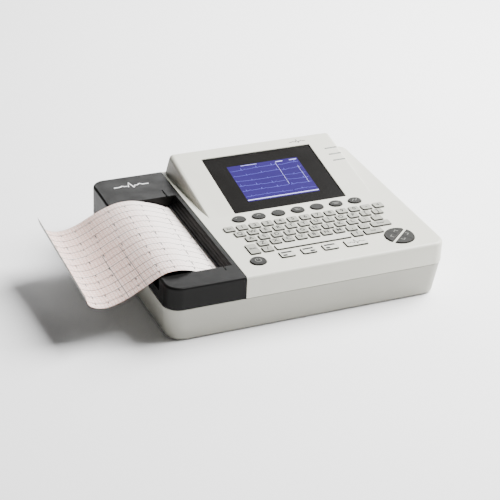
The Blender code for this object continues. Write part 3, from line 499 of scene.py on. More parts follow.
def housing_block(low, high, radii, rim=None, sharp_x=None, sharp_radius=0.0, foot=None,
                  insets=(0.0, 0.0), slope_drop=None, steps=16, rim_steps=6):
    """A rounded box: vertical corner radii (front left, front right, back right,
    back left), a rim radius round the top except at sharp_x, a foot radius
    round the bottom, walls that lean in by insets, and a top that follows the
    deck, slope_drop below it."""
    low = Vector(low)
    high = Vector(high)
    bm = box_mesh(low, high)
    corners = ((low.x, low.y), (high.x, low.y), (high.x, high.y), (low.x, high.y))
    for (x, y), radius in zip(corners, radii):
        if radius > 0:
            bevel(bm, edges_at(bm, x=x, y=y), radius, steps)
    if foot:
        bevel(bm, edges_at(bm, z=low.z), foot, 5)
    if rim:
        plain = [] if sharp_x is None else edges_at(bm, x=sharp_x, z=high.z)
        bevel(bm, [edge for edge in edges_at(bm, z=high.z) if edge not in plain], rim, rim_steps)
    if sharp_radius:
        bevel(bm, edges_at(bm, x=sharp_x, z=high.z), sharp_radius, 3)
    middle = (low + high) / 2
    for vert in bm.verts:
        rise = (vert.co.z - low.z) / (high.z - low.z)
        inset = insets[0] + (insets[1] - insets[0]) * rise
        vert.co.x += inset * (middle.x - vert.co.x) / (middle.x - low.x)
        vert.co.y += inset * (high.y - vert.co.y) / (high.y - low.y)
        if slope_drop is not None and rise > 0.5:
            vert.co.z += DECK_SLOPE * vert.co.y - slope_drop
    bmesh.ops.recalc_face_normals(bm, faces=bm.faces)
    return bm


def add_shell(name, mesh, material, body, node, slot):
    """A casing, its large faces kept flat in shading next to their rounded edges."""
    mesh.shade_smooth()
    mesh.set_sharp_from_angle(angle=math.radians(30))
    piece = add_piece(name, mesh, material, body, CORNER, [node], slot)
    weighted = piece.modifiers.new("weighted", "WEIGHTED_NORMAL")
    weighted.mode = "FACE_AREA"
    weighted.weight = 80
    weighted.keep_sharp = True


# ---- Keyboard places, in the deck's frame ----
KEY_SIZE = (15.2 * MM, 13.6 * MM)
KEY_RADIUS = 2.2 * MM
# First key's middle x, the row's y, the pitch, and the legends.
ROWS = (
    (140.0, 128.0, 19.70, ["Esc", "1", "2", "3", "4", "5", "6", "7", "8", "9", "0", "-", "+"]),
    (149.2, 111.1, 19.75, list("QWERTYUIOP[]")),
    (158.8, 94.1, 19.80, list("ASDFGHJKL;'")),
    (169.4, 77.3, 19.70, list("ZXCVBNM,.")),
)
# Middle x and y, width and depth, and an odd key's legend.
ODD_KEYS = (
    (354.0, 77.3, 30.0, 13.6, "Enter"),
    (169.4, 60.4, 15.2, 13.6, "/"),
    (307.9, 60.4, 15.2, 13.6, "?"),
    (333.5, 60.4, 28.2, 13.6, "Del"),
    (149.4, 66.3, 15.2, 26.2, "Shift"),
)
SPACE_BAR = (238.7, 60.4, 114.8, 13.2)
SPECIAL_KEYS = ((189.0, 39.4, 20.5, 15.5), (221.7, 39.4, 20.5, 15.5), (254.8, 39.4, 21.5, 15.5),
                (294.5, 39.0, 32.5, 17.5))
FUNCTION_START = (165.2, 152.2)
FUNCTION_PITCH = 30.83
FUNCTION_RADII = (10.2 * MM, 8.4 * MM)
POWER_KEY = (143.8 * MM, 34.8 * MM)
POWER_RADII = (11.5 * MM, 10.8 * MM)
ARROW_CENTRE = (362.9 * MM, 36.6 * MM)
ARROW_RADIUS = 21.5 * MM
ARROW_HALF_GAP = 2.3 * MM
ARROW_ANGLE = math.radians(41)
LETTER_SIZE = 10.0 * MM
WORD_SIZE = 5.6 * MM
LEGEND_THICKNESS = 0.06 * MM
OPENING_GROW = 0.5 * MM
OPENING_BOTTOM = -6 * MM
OPENING_CHAMFER = 0.4 * MM


def plain_keys():
    """(x, y, width, depth, legend) of each alphanumeric key, in metres."""
    keys = [((start + pitch * i) * MM, y * MM, *KEY_SIZE, legend)
            for start, y, pitch, legends in ROWS for i, legend in enumerate(legends)]
    return keys + [(x * MM, y * MM, w * MM, d * MM, legend) for x, y, w, d, legend in ODD_KEYS]


def slab(x, y, width, depth, radius=KEY_RADIUS):
    """An outline that can grow: a rounded rectangle."""
    return lambda grow: rounded_rectangle((x, y), width, depth, radius, grow)


def oval(centre, radii):
    """An outline that can grow: an ellipse."""
    turns = [2 * math.pi * i / 40 for i in range(40)]
    return lambda grow: [(centre[0] + (radii[0] + grow) * math.cos(turn),
                          centre[1] + (radii[1] + grow) * math.sin(turn)) for turn in turns]


def arrow_half(side):
    """Half of the split disc, with soft corners where its arc meets the gap."""
    turn = ARROW_ANGLE if side > 0 else ARROW_ANGLE + math.pi
    corner_turn = 0.06
    corner_reach = 0.955

    def outline(grow):
        radius = ARROW_RADIUS + grow
        offset = ARROW_HALF_GAP - grow
        swing = math.asin(offset / radius) + corner_turn
        points = arc((0.0, 0.0), radius, swing, math.pi - swing, 30)
        points = [(radius * corner_reach, offset), *points, (-radius * corner_reach, offset)]
        return [(ARROW_CENTRE[0] + x * math.cos(turn) - y * math.sin(turn),
                 ARROW_CENTRE[1] + x * math.sin(turn) + y * math.cos(turn)) for x, y in points]
    return outline


FUNCTION_KEYS = [("function_key_%d" % (i + 1),
                  (FUNCTION_START[0] + i * FUNCTION_PITCH) * MM, FUNCTION_START[1] * MM)
                 for i in range(7)]


def opening_outlines():
    shapes = [slab(x, y, w, d) for x, y, w, d, _ in plain_keys()]
    shapes += [slab(x * MM, y * MM, w * MM, d * MM) for x, y, w, d in (SPACE_BAR, *SPECIAL_KEYS)]
    shapes += [oval((x, y), FUNCTION_RADII) for _, x, y in FUNCTION_KEYS]
    return shapes + [oval(POWER_KEY, POWER_RADII), arrow_half(1), arrow_half(-1)]


# ---- Housings ----
HOOD_X = (124.5 * MM, 388.0 * MM)
HOOD_BACK = 326.0 * MM
HOOD_BOTTOM = 70 * MM
HOOD_ROUND = 5.5 * MM
UPPER_CORNERS = (0, 18 * MM, 16 * MM, 0)
UPPER_CORNERS_INSIDE = (0, 15.5 * MM, 13.5 * MM, 0)
INDICATOR_S = (121.9, 106.3, 90.6)
INDICATOR_X = 374.5
INDICATOR_SIZE = (21.0 * MM, 2.8 * MM)


def hood_block(inset):
    """The display hood as a block with soft edges, inset for its inside."""
    front = HOOD_Y - 15 * MM
    bottom = HOOD_BOTTOM - 2 * inset
    back = HOOD_BACK - inset
    bm = bmesh.new()
    bmesh.ops.create_cube(bm, size=1.0)
    for vert in bm.verts:
        x = HOOD_X[1] - inset if vert.co.x > 0 else HOOD_X[0] + inset
        y = back if vert.co.y > 0 else front
        top = HOOD_Z + (y - HOOD_Y) * math.tan(HOOD_TILT) - inset / math.cos(HOOD_TILT)
        if vert.co.z < 0:
            x += (top - bottom) * HOOD_SIDE_LEAN * (1 if vert.co.x > 0 else -1)
        vert.co = (x, y, top if vert.co.z > 0 else bottom)
    crown = [edge for edge in bm.edges
             if all(vert.co.z > bottom + 5 * MM for vert in edge.verts)
             and not all(vert.co.y < front + 1e-6 for vert in edge.verts)]
    upright = [edge for edge in edges_at(bm, y=back)
               if abs(edge.verts[0].co.z - edge.verts[1].co.z) > 10 * MM]
    bevel(bm, crown + upright, HOOD_ROUND - inset, 6)
    bmesh.ops.triangulate(bm, faces=bm.faces)
    bmesh.ops.recalc_face_normals(bm, faces=bm.faces)
    return bm


def deck_openings():
    bm = bmesh.new()
    for shape in opening_outlines():
        loft(bm, opening_rings(lambda grow: shape(grow + OPENING_GROW), OPENING_BOTTOM,
                               OPENING_CHAMFER))
    return cutter("openings_work", bm, DECK)


def hood_openings():
    bm = bmesh.new()
    window = slab(*WINDOW_CENTRE, *WINDOW_SIZE, 1.2 * MM)
    loft(bm, [(window(0), -10 * MM), (window(0), -0.5 * MM), (window(1.5 * MM), 1.0 * MM)])
    for s in INDICATOR_S:
        slot = slab(INDICATOR_X * MM, s * MM, *INDICATOR_SIZE, 1.2 * MM)
        loft(bm, [(slot(0), -8 * MM), (slot(0), 3 * MM)])
    return cutter("window_work", bm, HOOD)


def upper_shell():
    low = (SPLIT_X + GAP, 0, SEAM_Z + GAP)
    high = (WIDTH, DEPTH, DECK_FRONT_Z)
    outer = housing_block(low, high, UPPER_CORNERS, rim=5 * MM, foot=0.6 * MM,
                          sharp_x=low[0], sharp_radius=0.8 * MM, slope_drop=0.0)
    shell = loose("upper_work", outer, CORNER)
    inner = housing_block((low[0] + WALL, WALL, SEAM_Z - 10 * MM),
                          (WIDTH - WALL, DEPTH - WALL, DECK_FRONT_Z), UPPER_CORNERS_INSIDE,
                          rim=2.5 * MM, slope_drop=WALL, steps=6, rim_steps=3)
    cavity = loose("cavity_work", inner, CORNER)
    hood = loose("hood_work", hood_block(0.0), CORNER)
    hood_inner = loose("hood_inner_work", hood_block(WALL), CORNER)
    boolean(cavity, hood_inner, "UNION")
    boolean(shell, hood, "UNION")
    cutters = [cavity, deck_openings(), hood_openings()]
    for obj in cutters:
        boolean(shell, obj)
    ears = [hinge_ear(front, back) for front, back in EARS]
    for ear in ears:
        boolean(shell, ear, "UNION")
    mesh = settle(shell, [hood, hood_inner, *cutters, *ears], "upper_shell")
    add_shell("upper_shell", mesh, WHITE, "base", "upper_housing", "white_plastic")


def housing_inset(z):
    """How far the tub's drafted wall stands in at height z."""
    return DRAFT * (SEAM_Z - z) / (SEAM_Z - FLOOR_Z)


# Middle x, width, height and corner radius of the openings in the back wall.
BACK_OPENINGS = ((360.0, 28.0, 21.0, 0.8), (325.0, 20.0, 21.0, 0.8), (255.0, 32.0, 13.0, 2.0),
                 (215.0, 15.0, 10.0, 0.8), (392.0, 14.0, 14.0, 5.0))
SOCKET_Z = 26.0
# Middle y and z, length and height of the opening in the right wall.
PATIENT_SOCKET = (115.0, 27.0, 44.0, 15.0)
# Left, front, right and back of the battery hatch.
BATTERY = (185.0, 205.0, 285.0, 295.0)
LOWER_CORNERS = (24 * MM, 20 * MM, 18 * MM, 22 * MM)
LOWER_CORNERS_INSIDE = (22 * MM, 18 * MM, 16 * MM, 20 * MM)


def lower_shell():
    outer = housing_block((0, 0, FLOOR_Z), (WIDTH, DEPTH, SEAM_Z), LOWER_CORNERS, foot=2.2 * MM,
                          rim=0.7 * MM, rim_steps=2, insets=(DRAFT, 0.0))
    shell = loose("lower_work", outer, CORNER)
    floor_top = FLOOR_Z + WALL
    above = SEAM_Z + 10 * MM
    inner = housing_block((WALL, WALL, floor_top), (WIDTH - WALL, DEPTH - WALL, above),
                          LOWER_CORNERS_INSIDE, steps=8,
                          insets=(housing_inset(floor_top), housing_inset(above)))
    cavity = loose("cavity_work", inner, CORNER)
    bm = bmesh.new()
    for x, width, height, radius in BACK_OPENINGS:
        outline = rounded_rectangle((x * MM, SOCKET_Z * MM), width * MM, height * MM, radius * MM)
        loft(bm, [(outline, -DEPTH - OVERSHOOT), (outline, -DEPTH + 8 * MM)])
    back = cutter("back_work", bm, CORNER @ Matrix.Rotation(math.pi / 2, 4, "X"))
    bm = bmesh.new()
    y, z, width, height = (value * MM for value in PATIENT_SOCKET)
    outline = rounded_rectangle((y, z), width, height, 1.5 * MM)
    loft(bm, [(outline, WIDTH - 20 * MM), (outline, WIDTH + OVERSHOOT)])
    facing_right = Matrix(((0, 0, 1, 0), (1, 0, 0, 0), (0, 1, 0, 0), (0, 0, 0, 1)))
    side = cutter("side_work", bm, CORNER @ facing_right)
    bm = bmesh.new()
    left, front, right, far = (value * MM for value in BATTERY)
    outline = rounded_rectangle(((left + right) / 2, (front + far) / 2), right - left,
                                far - front, 0.6 * MM)
    loft(bm, [(outline, FLOOR_Z - OVERSHOOT), (outline, floor_top + OVERSHOOT)])
    hatch = cutter("hatch_work", bm, CORNER)
    cutters = [cavity, back, side, hatch]
    for obj in cutters:
        boolean(shell, obj)
    mesh = settle(shell, cutters, "lower_shell")
    add_shell("lower_shell", mesh, WARM_GREY, "base", "lower_housing", "warm_grey_plastic")


# The paper recess in section, across the deck: its hollow, and the skin round it.
RECESS = ((-8.0, 6.0), (106.2, 6.0), (106.2, 0.0), (98.4, -14.5), (97.4, -24.0), (92.0, -24.0),
          (92.0, -20.0), (-8.0, -20.0))
RECESS_SKIN = ((-8.0, 6.0), (108.6, 6.0), (108.6, -0.5), (100.6, -16.5), (92.0, -16.5),
               (92.0, -22.2), (-8.0, -22.2))
RECESS_Y = (37.0 * MM, 250.5 * MM)
RAIL_BOTTOM = -4.8 * MM
EARS = ((20.0, 30.0), (160.0, 170.0), (300.0, 310.0))
EAR_ROOM = 1.7 * MM
HINGE = (110.0 * MM, -2.4 * MM)
RAIL_X = 106.2 * MM
# Middle x and y, and length.
SLITS = ((93.5, 32.0, 10.0), (93.0, 259.5, 24.0))
LID_CORNERS = (22 * MM, 0, 0, 20 * MM)
LID_CORNERS_INSIDE = (19.5 * MM, 0, 0, 17.5 * MM)


def prism_y(name, outline, front, back, place):
    """An (x, z) outline in millimetres, extruded from front to back along Y."""
    bm = bmesh.new()
    flat = [(x * MM, z * MM) for x, z in outline]
    loft(bm, [(flat, -back), (flat, -front)])
    return cutter(name, bm, place @ Matrix.Rotation(math.pi / 2, 4, "X"))


def block(name, low, high):
    """A cutter box in the deck's frame."""
    return loose(name, box_mesh(Vector(low), Vector(high)), DECK)


def lid_shell():
    low = Vector((0.8 * MM, 0.4 * MM, SEAM_Z + GAP))
    high = Vector((SPLIT_X - GAP, DEPTH - 0.4 * MM, DECK_FRONT_Z))
    outer = housing_block(low, high, LID_CORNERS, rim=3.2 * MM, foot=0.5 * MM, steps=18,
                          sharp_x=high.x, sharp_radius=2.0 * MM, slope_drop=0.0)
    shell = loose("lid_work", outer, CORNER)
    inner = housing_block((low.x + WALL, low.y + WALL, low.z - 10 * MM),
                          (high.x + 10 * MM, high.y - WALL, high.z), LID_CORNERS_INSIDE,
                          slope_drop=WALL, steps=8)
    cavity = loose("cavity_work", inner, CORNER)
    skin_over = 2.2 * MM
    skin = prism_y("skin_work", RECESS_SKIN, RECESS_Y[0] - skin_over, RECESS_Y[1] + skin_over, DECK)
    core = block("core_work", (RAIL_X, -10 * MM, RAIL_BOTTOM), (130 * MM, DEPTH + 10 * MM, 10 * MM))
    boolean(cavity, skin)
    boolean(cavity, core)
    cutters = [cavity, prism_y("recess_work", RECESS, *RECESS_Y, DECK)]
    for x, y, length in SLITS:
        cutters.append(block("slit_work", ((x - 1.0) * MM, (y - length / 2) * MM, -2 * MM),
                             ((x + 1.0) * MM, (y + length / 2) * MM, 4 * MM)))
    for front, back in EARS:
        cutters.append(block("ear_work", (HINGE[0] - EAR_ROOM, front * MM - GAP, RAIL_BOTTOM - 6 * MM),
                             (SPLIT_X + 2 * MM, back * MM + GAP, HINGE[1] + EAR_ROOM)))
    for obj in cutters:
        boolean(shell, obj)
    mesh = settle(shell, [*cutters, skin, core], "lid_shell")
    add_shell("lid_shell", mesh, CHARCOAL, "lid", "recorder_lid", "charcoal_plastic")


def hinge_ear(front, back):
    """An ear that reaches under the lid's rail and holds the hinge pin."""
    x, z = HINGE[0] / MM, HINGE[1] / MM
    outline = arc((x, z), 1.4, math.radians(-60), math.radians(180), 14)
    outline += [(x - 1.4, -7.5), (SPLIT_X / MM + 1.3, -9.5), (SPLIT_X / MM + 1.3, -6.8),
                (x + 0.9, -5.8)]
    return prism_y("ear_work", outline, front * MM, back * MM, DECK)


def guide_ribs():
    """The dark liner on the recess wall, with ribs that run from front to back, and
    the tear edge at its foot."""
    profile = [(105.9, -0.8), (105.3, -1.9), (104.6, -1.6), (103.6, -3.6), (103.9, -4.6),
               (102.8, -6.4), (102.0, -6.2), (101.0, -8.0), (101.2, -9.0), (100.2, -10.6),
               (99.4, -10.6), (98.4, -12.4), (98.2, -14.2), (99.0, -14.6), (106.6, -0.7)]
    bm = bmesh.new()
    flat = [(x * MM, z * MM) for x, z in profile]
    loft(bm, [(flat, -RECESS_Y[1] + 0.2 * MM), (flat, -RECESS_Y[0] - 0.2 * MM)])
    place = DECK @ Matrix.Rotation(math.pi / 2, 4, "X")
    add_part("recess_guide", bm, DARK_GUIDE, "lid", place, sharp=20)


# ---- Keys ----
def add_cap(name, bm, material, painted_shade_material=None):
    add_part(name + "_cap", bm, material, name, DECK, [name], "key_rubber", painted_shade_material,
             sharp=50)


def keyboard():
    bm = bmesh.new()
    for x, y, width, depth, _ in plain_keys():
        loft(bm, key_rings(slab(x, y, width, depth), min(width, depth), foot=-6.4 * MM),
             skirt=KEY_SKIRT)
    mat = rounded_rectangle((260 * MM, 96 * MM), 264 * MM, 144 * MM, 4 * MM)
    loft(bm, [(mat, -8.0 * MM), (mat, -6.5 * MM)], skirt=1)
    # The keys' sides and the mat's side take the dark painted shade.
    add_part("key_mat", bm, KEY_PALE, "base", DECK, ["keypad_mat"], "key_rubber", KEY_SIDE_SHADE,
             sharp=50)
    singles = [("space_bar", SPACE_BAR)]
    singles += [("special_key_%d" % (i + 1), key) for i, key in enumerate(SPECIAL_KEYS)]
    for name, key in singles:
        x, y, width, depth = (value * MM for value in key)
        bm = bmesh.new()
        loft(bm, key_rings(slab(x, y, width, depth), depth), skirt=KEY_SKIRT)
        # The sides of these keys take the dark painted shade.
        add_cap(name, bm, KEY_WHITE, KEY_SIDE_SHADE)
    rounds = [(name, (x, y), FUNCTION_RADII) for name, x, y in FUNCTION_KEYS]
    rounds.append(("power_key", POWER_KEY, POWER_RADII))
    for name, centre, radii in rounds:
        bm = bmesh.new()
        loft(bm, key_rings(oval(centre, radii), 2 * radii[1], edge=1.3 * MM, crown=0.35 * MM))
        add_cap(name, bm, KEY_DARK)
    for name, side in (("arrow_key_upper", 1), ("arrow_key_lower", -1)):
        bm = bmesh.new()
        loft(bm, key_rings(arrow_half(side), ARROW_RADIUS * 0.9, edge=1.2 * MM))
        add_cap(name, bm, KEY_DARK)


def text_mesh(bm, text, size, place):
    """Add a word to bm, centred and lying flat at the matrix place."""
    curve = bpy.data.curves.new("letters", "FONT")
    curve.body = text
    curve.size = size
    curve.align_x = "CENTER"
    curve.align_y = "CENTER"
    curve.extrude = LEGEND_THICKNESS
    curve.resolution_u = 3
    curve.offset = size * 0.02
    obj = bpy.data.objects.new("letters", curve)
    bpy.context.scene.collection.objects.link(obj)
    bpy.context.view_layer.update()
    evaluated = obj.evaluated_get(bpy.context.evaluated_depsgraph_get())
    mesh = bpy.data.meshes.new_from_object(evaluated)
    bpy.data.objects.remove(obj, do_unlink=True)
    mesh.transform(place)
    bm.from_mesh(mesh)
    bpy.data.meshes.remove(mesh)


def legends():
    bm = bmesh.new()
    for x, y, _, _, legend in plain_keys():
        size = LETTER_SIZE if len(legend) == 1 else WORD_SIZE
        text_mesh(bm, legend, size, Matrix.Translation((x, y, KEY_RISE)))
    bmesh.ops.remove_doubles(bm, verts=bm.verts, dist=1e-7)
    add_part("key_legends", bm, LEGEND_AND_GROOVE_SHADE, "base", DECK)


def icon(name, body, lines, width, material, place, thickness=0.08 * MM):
    """Flat lines, each a list of (x, y) in millimetres, printed on a plane."""
    bm = bmesh.new()
    for line in lines:
        flat_wire(bm, [Vector((x * MM, y * MM, 0)) for x, y in line], Vector((0, 0, 1)),
                  width * MM, thickness)
    add_part(name, bm, material, body, place)


def pulse(left, right, middle, height):
    """A generic heartbeat line from left to right."""
    span = right - left
    shape = ((0.0, 0.0), (0.18, 0.0), (0.24, 0.16), (0.30, 0.0), (0.36, 0.0), (0.40, -0.18),
             (0.47, 0.62), (0.55, -0.38), (0.60, 0.0), (0.68, 0.0), (0.75, 0.22), (0.82, 0.0),
             (1.0, 0.0))
    return [(left + span * x, middle + height * y) for x, y in shape]


def key_icons():
    top = DECK @ Matrix.Translation((0, 0, KEY_RISE - 0.02 * MM))
    marks = {
        "special_key_1": [[(181.5, 42.5), (197.0, 42.5)], [(181.5, 35.5), (188.0, 35.5)]],
        "special_key_2": [[(214.0, 42.5), (229.5, 42.5)], [(223.0, 35.5), (229.5, 35.5)]],
        "special_key_3": [[(247.0, 42.5), (263.0, 42.5)], [(247.0, 35.5), (253.0, 35.5)]],
        "special_key_4": [pulse(281.0, 308.0, 38.0, 12.0)],
    }
    for name, lines in marks.items():
        icon(name + "_mark", name, lines, 1.2 if len(lines) == 1 else 3.6, LEGEND_AND_GROOVE_SHADE, top)
    px, py = POWER_KEY[0] / MM, POWER_KEY[1] / MM
    ring = arc((px, py), 4.2, math.radians(120), math.radians(420), 24)
    icon("power_mark", "power_key", [ring, [(px, py + 1.5), (px, py + 5.6)]], 0.9, GREY_INK_AND_PAINTED_GLINT, top)
    cx, cy = ARROW_CENTRE[0] / MM, ARROW_CENTRE[1] / MM

    def outward(angle, along, across=0.0):
        """A point that far out from the disc's centre, and to the left of that line."""
        c, s = math.cos(angle), math.sin(angle)
        return cx + along * c - across * s, cy + along * s + across * c

    def chevron(degrees):
        angle = math.radians(degrees)
        return [outward(angle, 10.46, 3.4), outward(angle, 14.54), outward(angle, 10.46, -3.4)]

    for name, side in (("arrow_key_upper", 1), ("arrow_key_lower", -1)):
        turn = ARROW_ANGLE + side * math.pi / 2
        # A flat near-black line across each half is painted shade where a groove would be; the key has
        # no cut there.
        icon(name + "_painted_groove_shade", name, [[outward(turn, 3.5), outward(turn, 19.0)]], 1.1, LEGEND_AND_GROOVE_SHADE, top)
    signs = {
        # The first key's short pale dash is a painted highlight, a glint at its left, not a printed
        # sign.
        0: [[(-4.6, 1.0), (-2.8, 1.0)]],
        1: [[(-3.0, 0.0), (0.0, 2.4), (3.0, 0.0)]],
        3: [[(-4.0, -1.6), (4.0, -1.6)], [(-4.0, 1.8), (1.0, 1.8)]],
        5: [[(-5.0, 0.6), (5.0, 0.6)], [(-3.5, -2.4), (3.5, -2.4)]],
        6: [[(-4.5, -2.0), (-0.5, 2.4), (0.5, -2.0), (4.5, 2.4)]],
    }
    for index, lines in signs.items():
        name, x, y = FUNCTION_KEYS[index]
        placed = [[(x / MM + dx, y / MM + dy) for dx, dy in line] for line in lines]
        icon(name + "_mark", name, placed, 1.2, GREY_INK_AND_PAINTED_GLINT, top)
    for name, directions in (("upper", (90, 180)), ("lower", (0, 270))):
        icon("arrow_marks_" + name, "arrow_key_" + name,
             [chevron(degrees) for degrees in directions], 1.3, GREY_INK_AND_PAINTED_GLINT, top)


# ---- Display ----
# Each wave of a beat: its size, its time and its spread.
BEAT_WAVES = ((0.10, 0.20, 0.035), (-0.12, 0.355, 0.012), (1.00, 0.385, 0.014),
              (-0.25, 0.415, 0.014), (0.24, 0.62, 0.055))


def heartbeat(t, height):
    """One beat over t from 0 to 1: P wave, QRS spike and T wave."""
    return height * sum(size * math.exp(-((t - time) / width) ** 2)
                        for size, time, width in BEAT_WAVES)


def trace_points(start, end, beats, shift, row):
    """One channel's line between two x places, beats long, near the row's height."""
    middle = LCD[1] + (11.5 + 12.6 * row) * MM
    height = (3.0 + 1.3 * (row % 3)) * MM
    count = 150 if beats > 1 else 70
    points = []
    for i in range(count + 1):
        t = i / count
        drift = 0.8 * MM * math.sin(4.1 * t + row) + 1.6 * MM * t * math.sin(row * 1.7)
        wave = heartbeat((t * beats + shift) % 1.0, height)
        points.append(Vector((start + (end - start) * t, middle + drift + wave, 0)))
    return points


# Ends and width of the lines on the picture, from its lower left corner.
SCREEN_BARS = (
    (0.5, 3.4, 114.7, 3.4, 1.7),
    (77.2, 27.0, 77.2, 81.0, 0.36),
    (108.2, 24.0, 108.2, 66.0, 0.36),
    (78.5, 82.5, 90.0, 82.5, 1.3),
    (101.0, 82.5, 113.0, 82.5, 1.3),
    (22.0, 84.5, 48.0, 84.5, 0.7),
)


def display():
    pane = slab(*WINDOW_CENTRE, WINDOW_SIZE[0] - 2 * GAP, WINDOW_SIZE[1] - 2 * GAP, 1.0 * MM)(0.0)
    bm = bmesh.new()
    loft(bm, [(pane, -3.6 * MM), (pane, PANE_TOP)])
    add_part("window_pane", bm, WINDOW_BLACK, "base", HOOD, ["display_window"], "black_window")
    left, front, right, back = LCD
    place = HOOD @ Matrix.Translation((0, 0, PANE_TOP))
    bm = bmesh.new()
    area = rounded_rectangle(((left + right) / 2, (front + back) / 2), right - left,
                             back - front, 0.4 * MM, steps=2)
    loft(bm, [(area, -0.2 * MM), (area, 0.05 * MM)])
    add_part("screen_area", bm, SCREEN_BLUE, "base", place, ["lcd_module"], "lcd_blue")
    up = Vector((0, 0, 1))
    on_screen = place @ Matrix.Translation((0, 0, 0.03 * MM))
    bm = bmesh.new()
    for row in range(6):
        for start, end, beats, shift in ((left + 1 * MM, left + 76 * MM, 3, 0.13 * row),
                                         (left + 79 * MM, right - 2 * MM, 1, 0.31 * row)):
            flat_wire(bm, trace_points(start, end, beats, shift, row), up, 0.60 * MM, 0.06 * MM)
    add_part("screen_traces", bm, SCREEN_TRACE, "base", on_screen)
    bm = bmesh.new()
    for x0, y0, x1, y1, width in SCREEN_BARS:
        ends = [Vector((left + x * MM, front + y * MM, 0)) for x, y in ((x0, y0), (x1, y1))]
        flat_wire(bm, ends, up, width * MM, 0.08 * MM)
    add_part("screen_marks", bm, SCREEN_PALE, "base", on_screen)
    for index, s in enumerate(INDICATOR_S):
        bm = bmesh.new()
        shape = slab(INDICATOR_X * MM, s * MM, INDICATOR_SIZE[0] - 2 * GAP,
                     INDICATOR_SIZE[1] - 2 * GAP, 0.9 * MM)
        loft(bm, [(shape(0), -6 * MM), (shape(0), 0.1 * MM), (shape(-0.3 * MM), 0.3 * MM)])
        name = "indicator_%d" % (index + 1)
        add_part(name + "_lens", bm, LENS, "base", HOOD, [name], "green_lens")


# ---- Paper ----
# The strip's back and front edges, as (x, z) points for a smooth curve.
STRIP_BACK = ((99.8, 69.8), (92.2, 70.2), (72.7, 78.9), (43.0, 88.4), (22.6, 90.2), (3.8, 87.1),
              (-20.8, 77.3), (-41.0, 66.9), (-58.1, 60.4), (-75.3, 58.7), (-89.0, 63.0),
              (-98.5, 72.2), (-103.0, 87.0))
STRIP_FRONT = ((99.8, 65.2), (92.2, 65.6), (72.7, 74.0), (43.0, 84.8), (22.6, 87.2), (5.5, 83.7),
               (-19.0, 70.0), (-40.0, 58.8), (-56.0, 52.5), (-72.1, 49.2), (-86.0, 51.5),
               (-96.2, 58.0), (-101.0, 71.8))
SPANS = len(STRIP_FRONT) - 1
PAPER_FRONT = 38.5 * MM
PAPER_WIDTH = 210.0 * MM
PAPER_THICKNESS = 0.12 * MM
INK_LIFT = 0.07 * MM
INK_THICKNESS = 0.03 * MM
LEADS = 12
RULES_X = (-15.0, -40.0)


def spline_point(points, position):
    """A Catmull-Rom point; position counts spans from the first point."""
    span = min(int(position), len(points) - 2)
    t = position - span
    p = [points[min(max(span + k, 0), len(points) - 1)] for k in (-1, 0, 1, 2)]
    return [0.5 * MM * (2 * p[1][i] + (p[2][i] - p[0][i]) * t
                        + (2 * p[0][i] - 5 * p[1][i] + 4 * p[2][i] - p[3][i]) * t * t
                        + (3 * p[1][i] - p[0][i] - 3 * p[2][i] + p[3][i]) * t ** 3)
            for i in (0, 1)]


def paper_point(across, position):
    """A point on the strip: across from 0 in front to 1 behind."""
    front = spline_point(STRIP_FRONT, position)
    back = spline_point(STRIP_BACK, position)
    return Vector((front[0] + (back[0] - front[0]) * across, PAPER_FRONT + PAPER_WIDTH * across,
                   front[1] + (back[1] - front[1]) * across))


def paper_normal(across, position):
    step = 0.01
    before = paper_point(across, max(position - step, 0))
    after = paper_point(across, min(position + step, SPANS))
    front = paper_point(max(across - step, 0), position)
    back = paper_point(min(across + step, 1), position)
    return (back - front).cross(after - before).normalized()


def paper():
    rows, columns = 12 * SPANS, 40
    bm = bmesh.new()
    layer = bm.loops.layers.uv.new("UVMap")
    grid = []
    run = 0.0
    last = paper_point(0.5, 0.0)
    for row in range(rows + 1):
        position = row * SPANS / rows
        here = paper_point(0.5, position)
        run += (here - last).length
        last = here
        grid.append([(bm.verts.new(paper_point(column / columns, position)),
                      (PAPER_WIDTH * column / columns, run)) for column in range(columns + 1)])
    for near, far in zip(grid, grid[1:]):
        for column in range(columns):
            corners = (near[column], near[column + 1], far[column + 1], far[column])
            face = bm.faces.new([corner[0] for corner in corners])
            for loop, corner in zip(face.loops, corners):
                loop[layer].uv = corner[1]
    mesh = bpy.data.meshes.new("printed_strip")
    bm.to_mesh(mesh)
    bm.free()
    mesh.shade_smooth()
    strip = add_piece("printed_strip", mesh, PAPER, "lid", CORNER, ["paper_strip"], "paper")
    # The back side takes the grey painted shade.
    mesh.materials.append(PAPER_BACK_SHADE)
    solid = strip.modifiers.new("thickness", "SOLIDIFY")
    solid.thickness = PAPER_THICKNESS
    solid.offset = 0.0
    solid.material_offset = 1
    prints = printed_marks()


def position_at(x_mm):
    """Where along the strip its front edge passes x."""
    low, high = 0.0, float(SPANS)
    for _ in range(30):
        middle = (low + high) / 2
        if spline_point(STRIP_FRONT, middle)[0] > x_mm * MM:
            low = middle
        else:
            high = middle
    return low


def ink_line(bm, places, width):
    """A printed line through (across, position) places on the strip."""
    normals = [paper_normal(*place) for place in places]
    points = [paper_point(*place) + normal * INK_LIFT for place, normal in zip(places, normals)]
    flat_wire(bm, points, normals, width, INK_THICKNESS)


def printed_marks():
    bm = bmesh.new()
    for lead in range(LEADS):
        middle = (lead + 0.75) / (LEADS + 0.5)
        count = 420
        places = []
        for i in range(count + 1):
            t = i / count
            swell = 1.0 + math.exp(-(4.0 * t) ** 2)
            height = heartbeat((t * 9.0 + 0.07 * lead) % 1.0,
                               (5.5 + 3.0 * math.sin(lead * 2.3)) * swell * MM)
            places.append((middle - height / PAPER_WIDTH, 0.9 + (SPANS - 1.15) * t))
        ink_line(bm, places, 0.95 * MM)
    traces = add_part("printed_traces", bm, PRINT_GREY, "lid", CORNER)
    bm = bmesh.new()
    for x in RULES_X:
        position = position_at(x)
        ink_line(bm, [(0.01 + 0.52 * i / 60, position) for i in range(61)], 0.80 * MM)
    return [traces, add_part("printed_rules", bm, RULE_GREY, "lid", CORNER)]


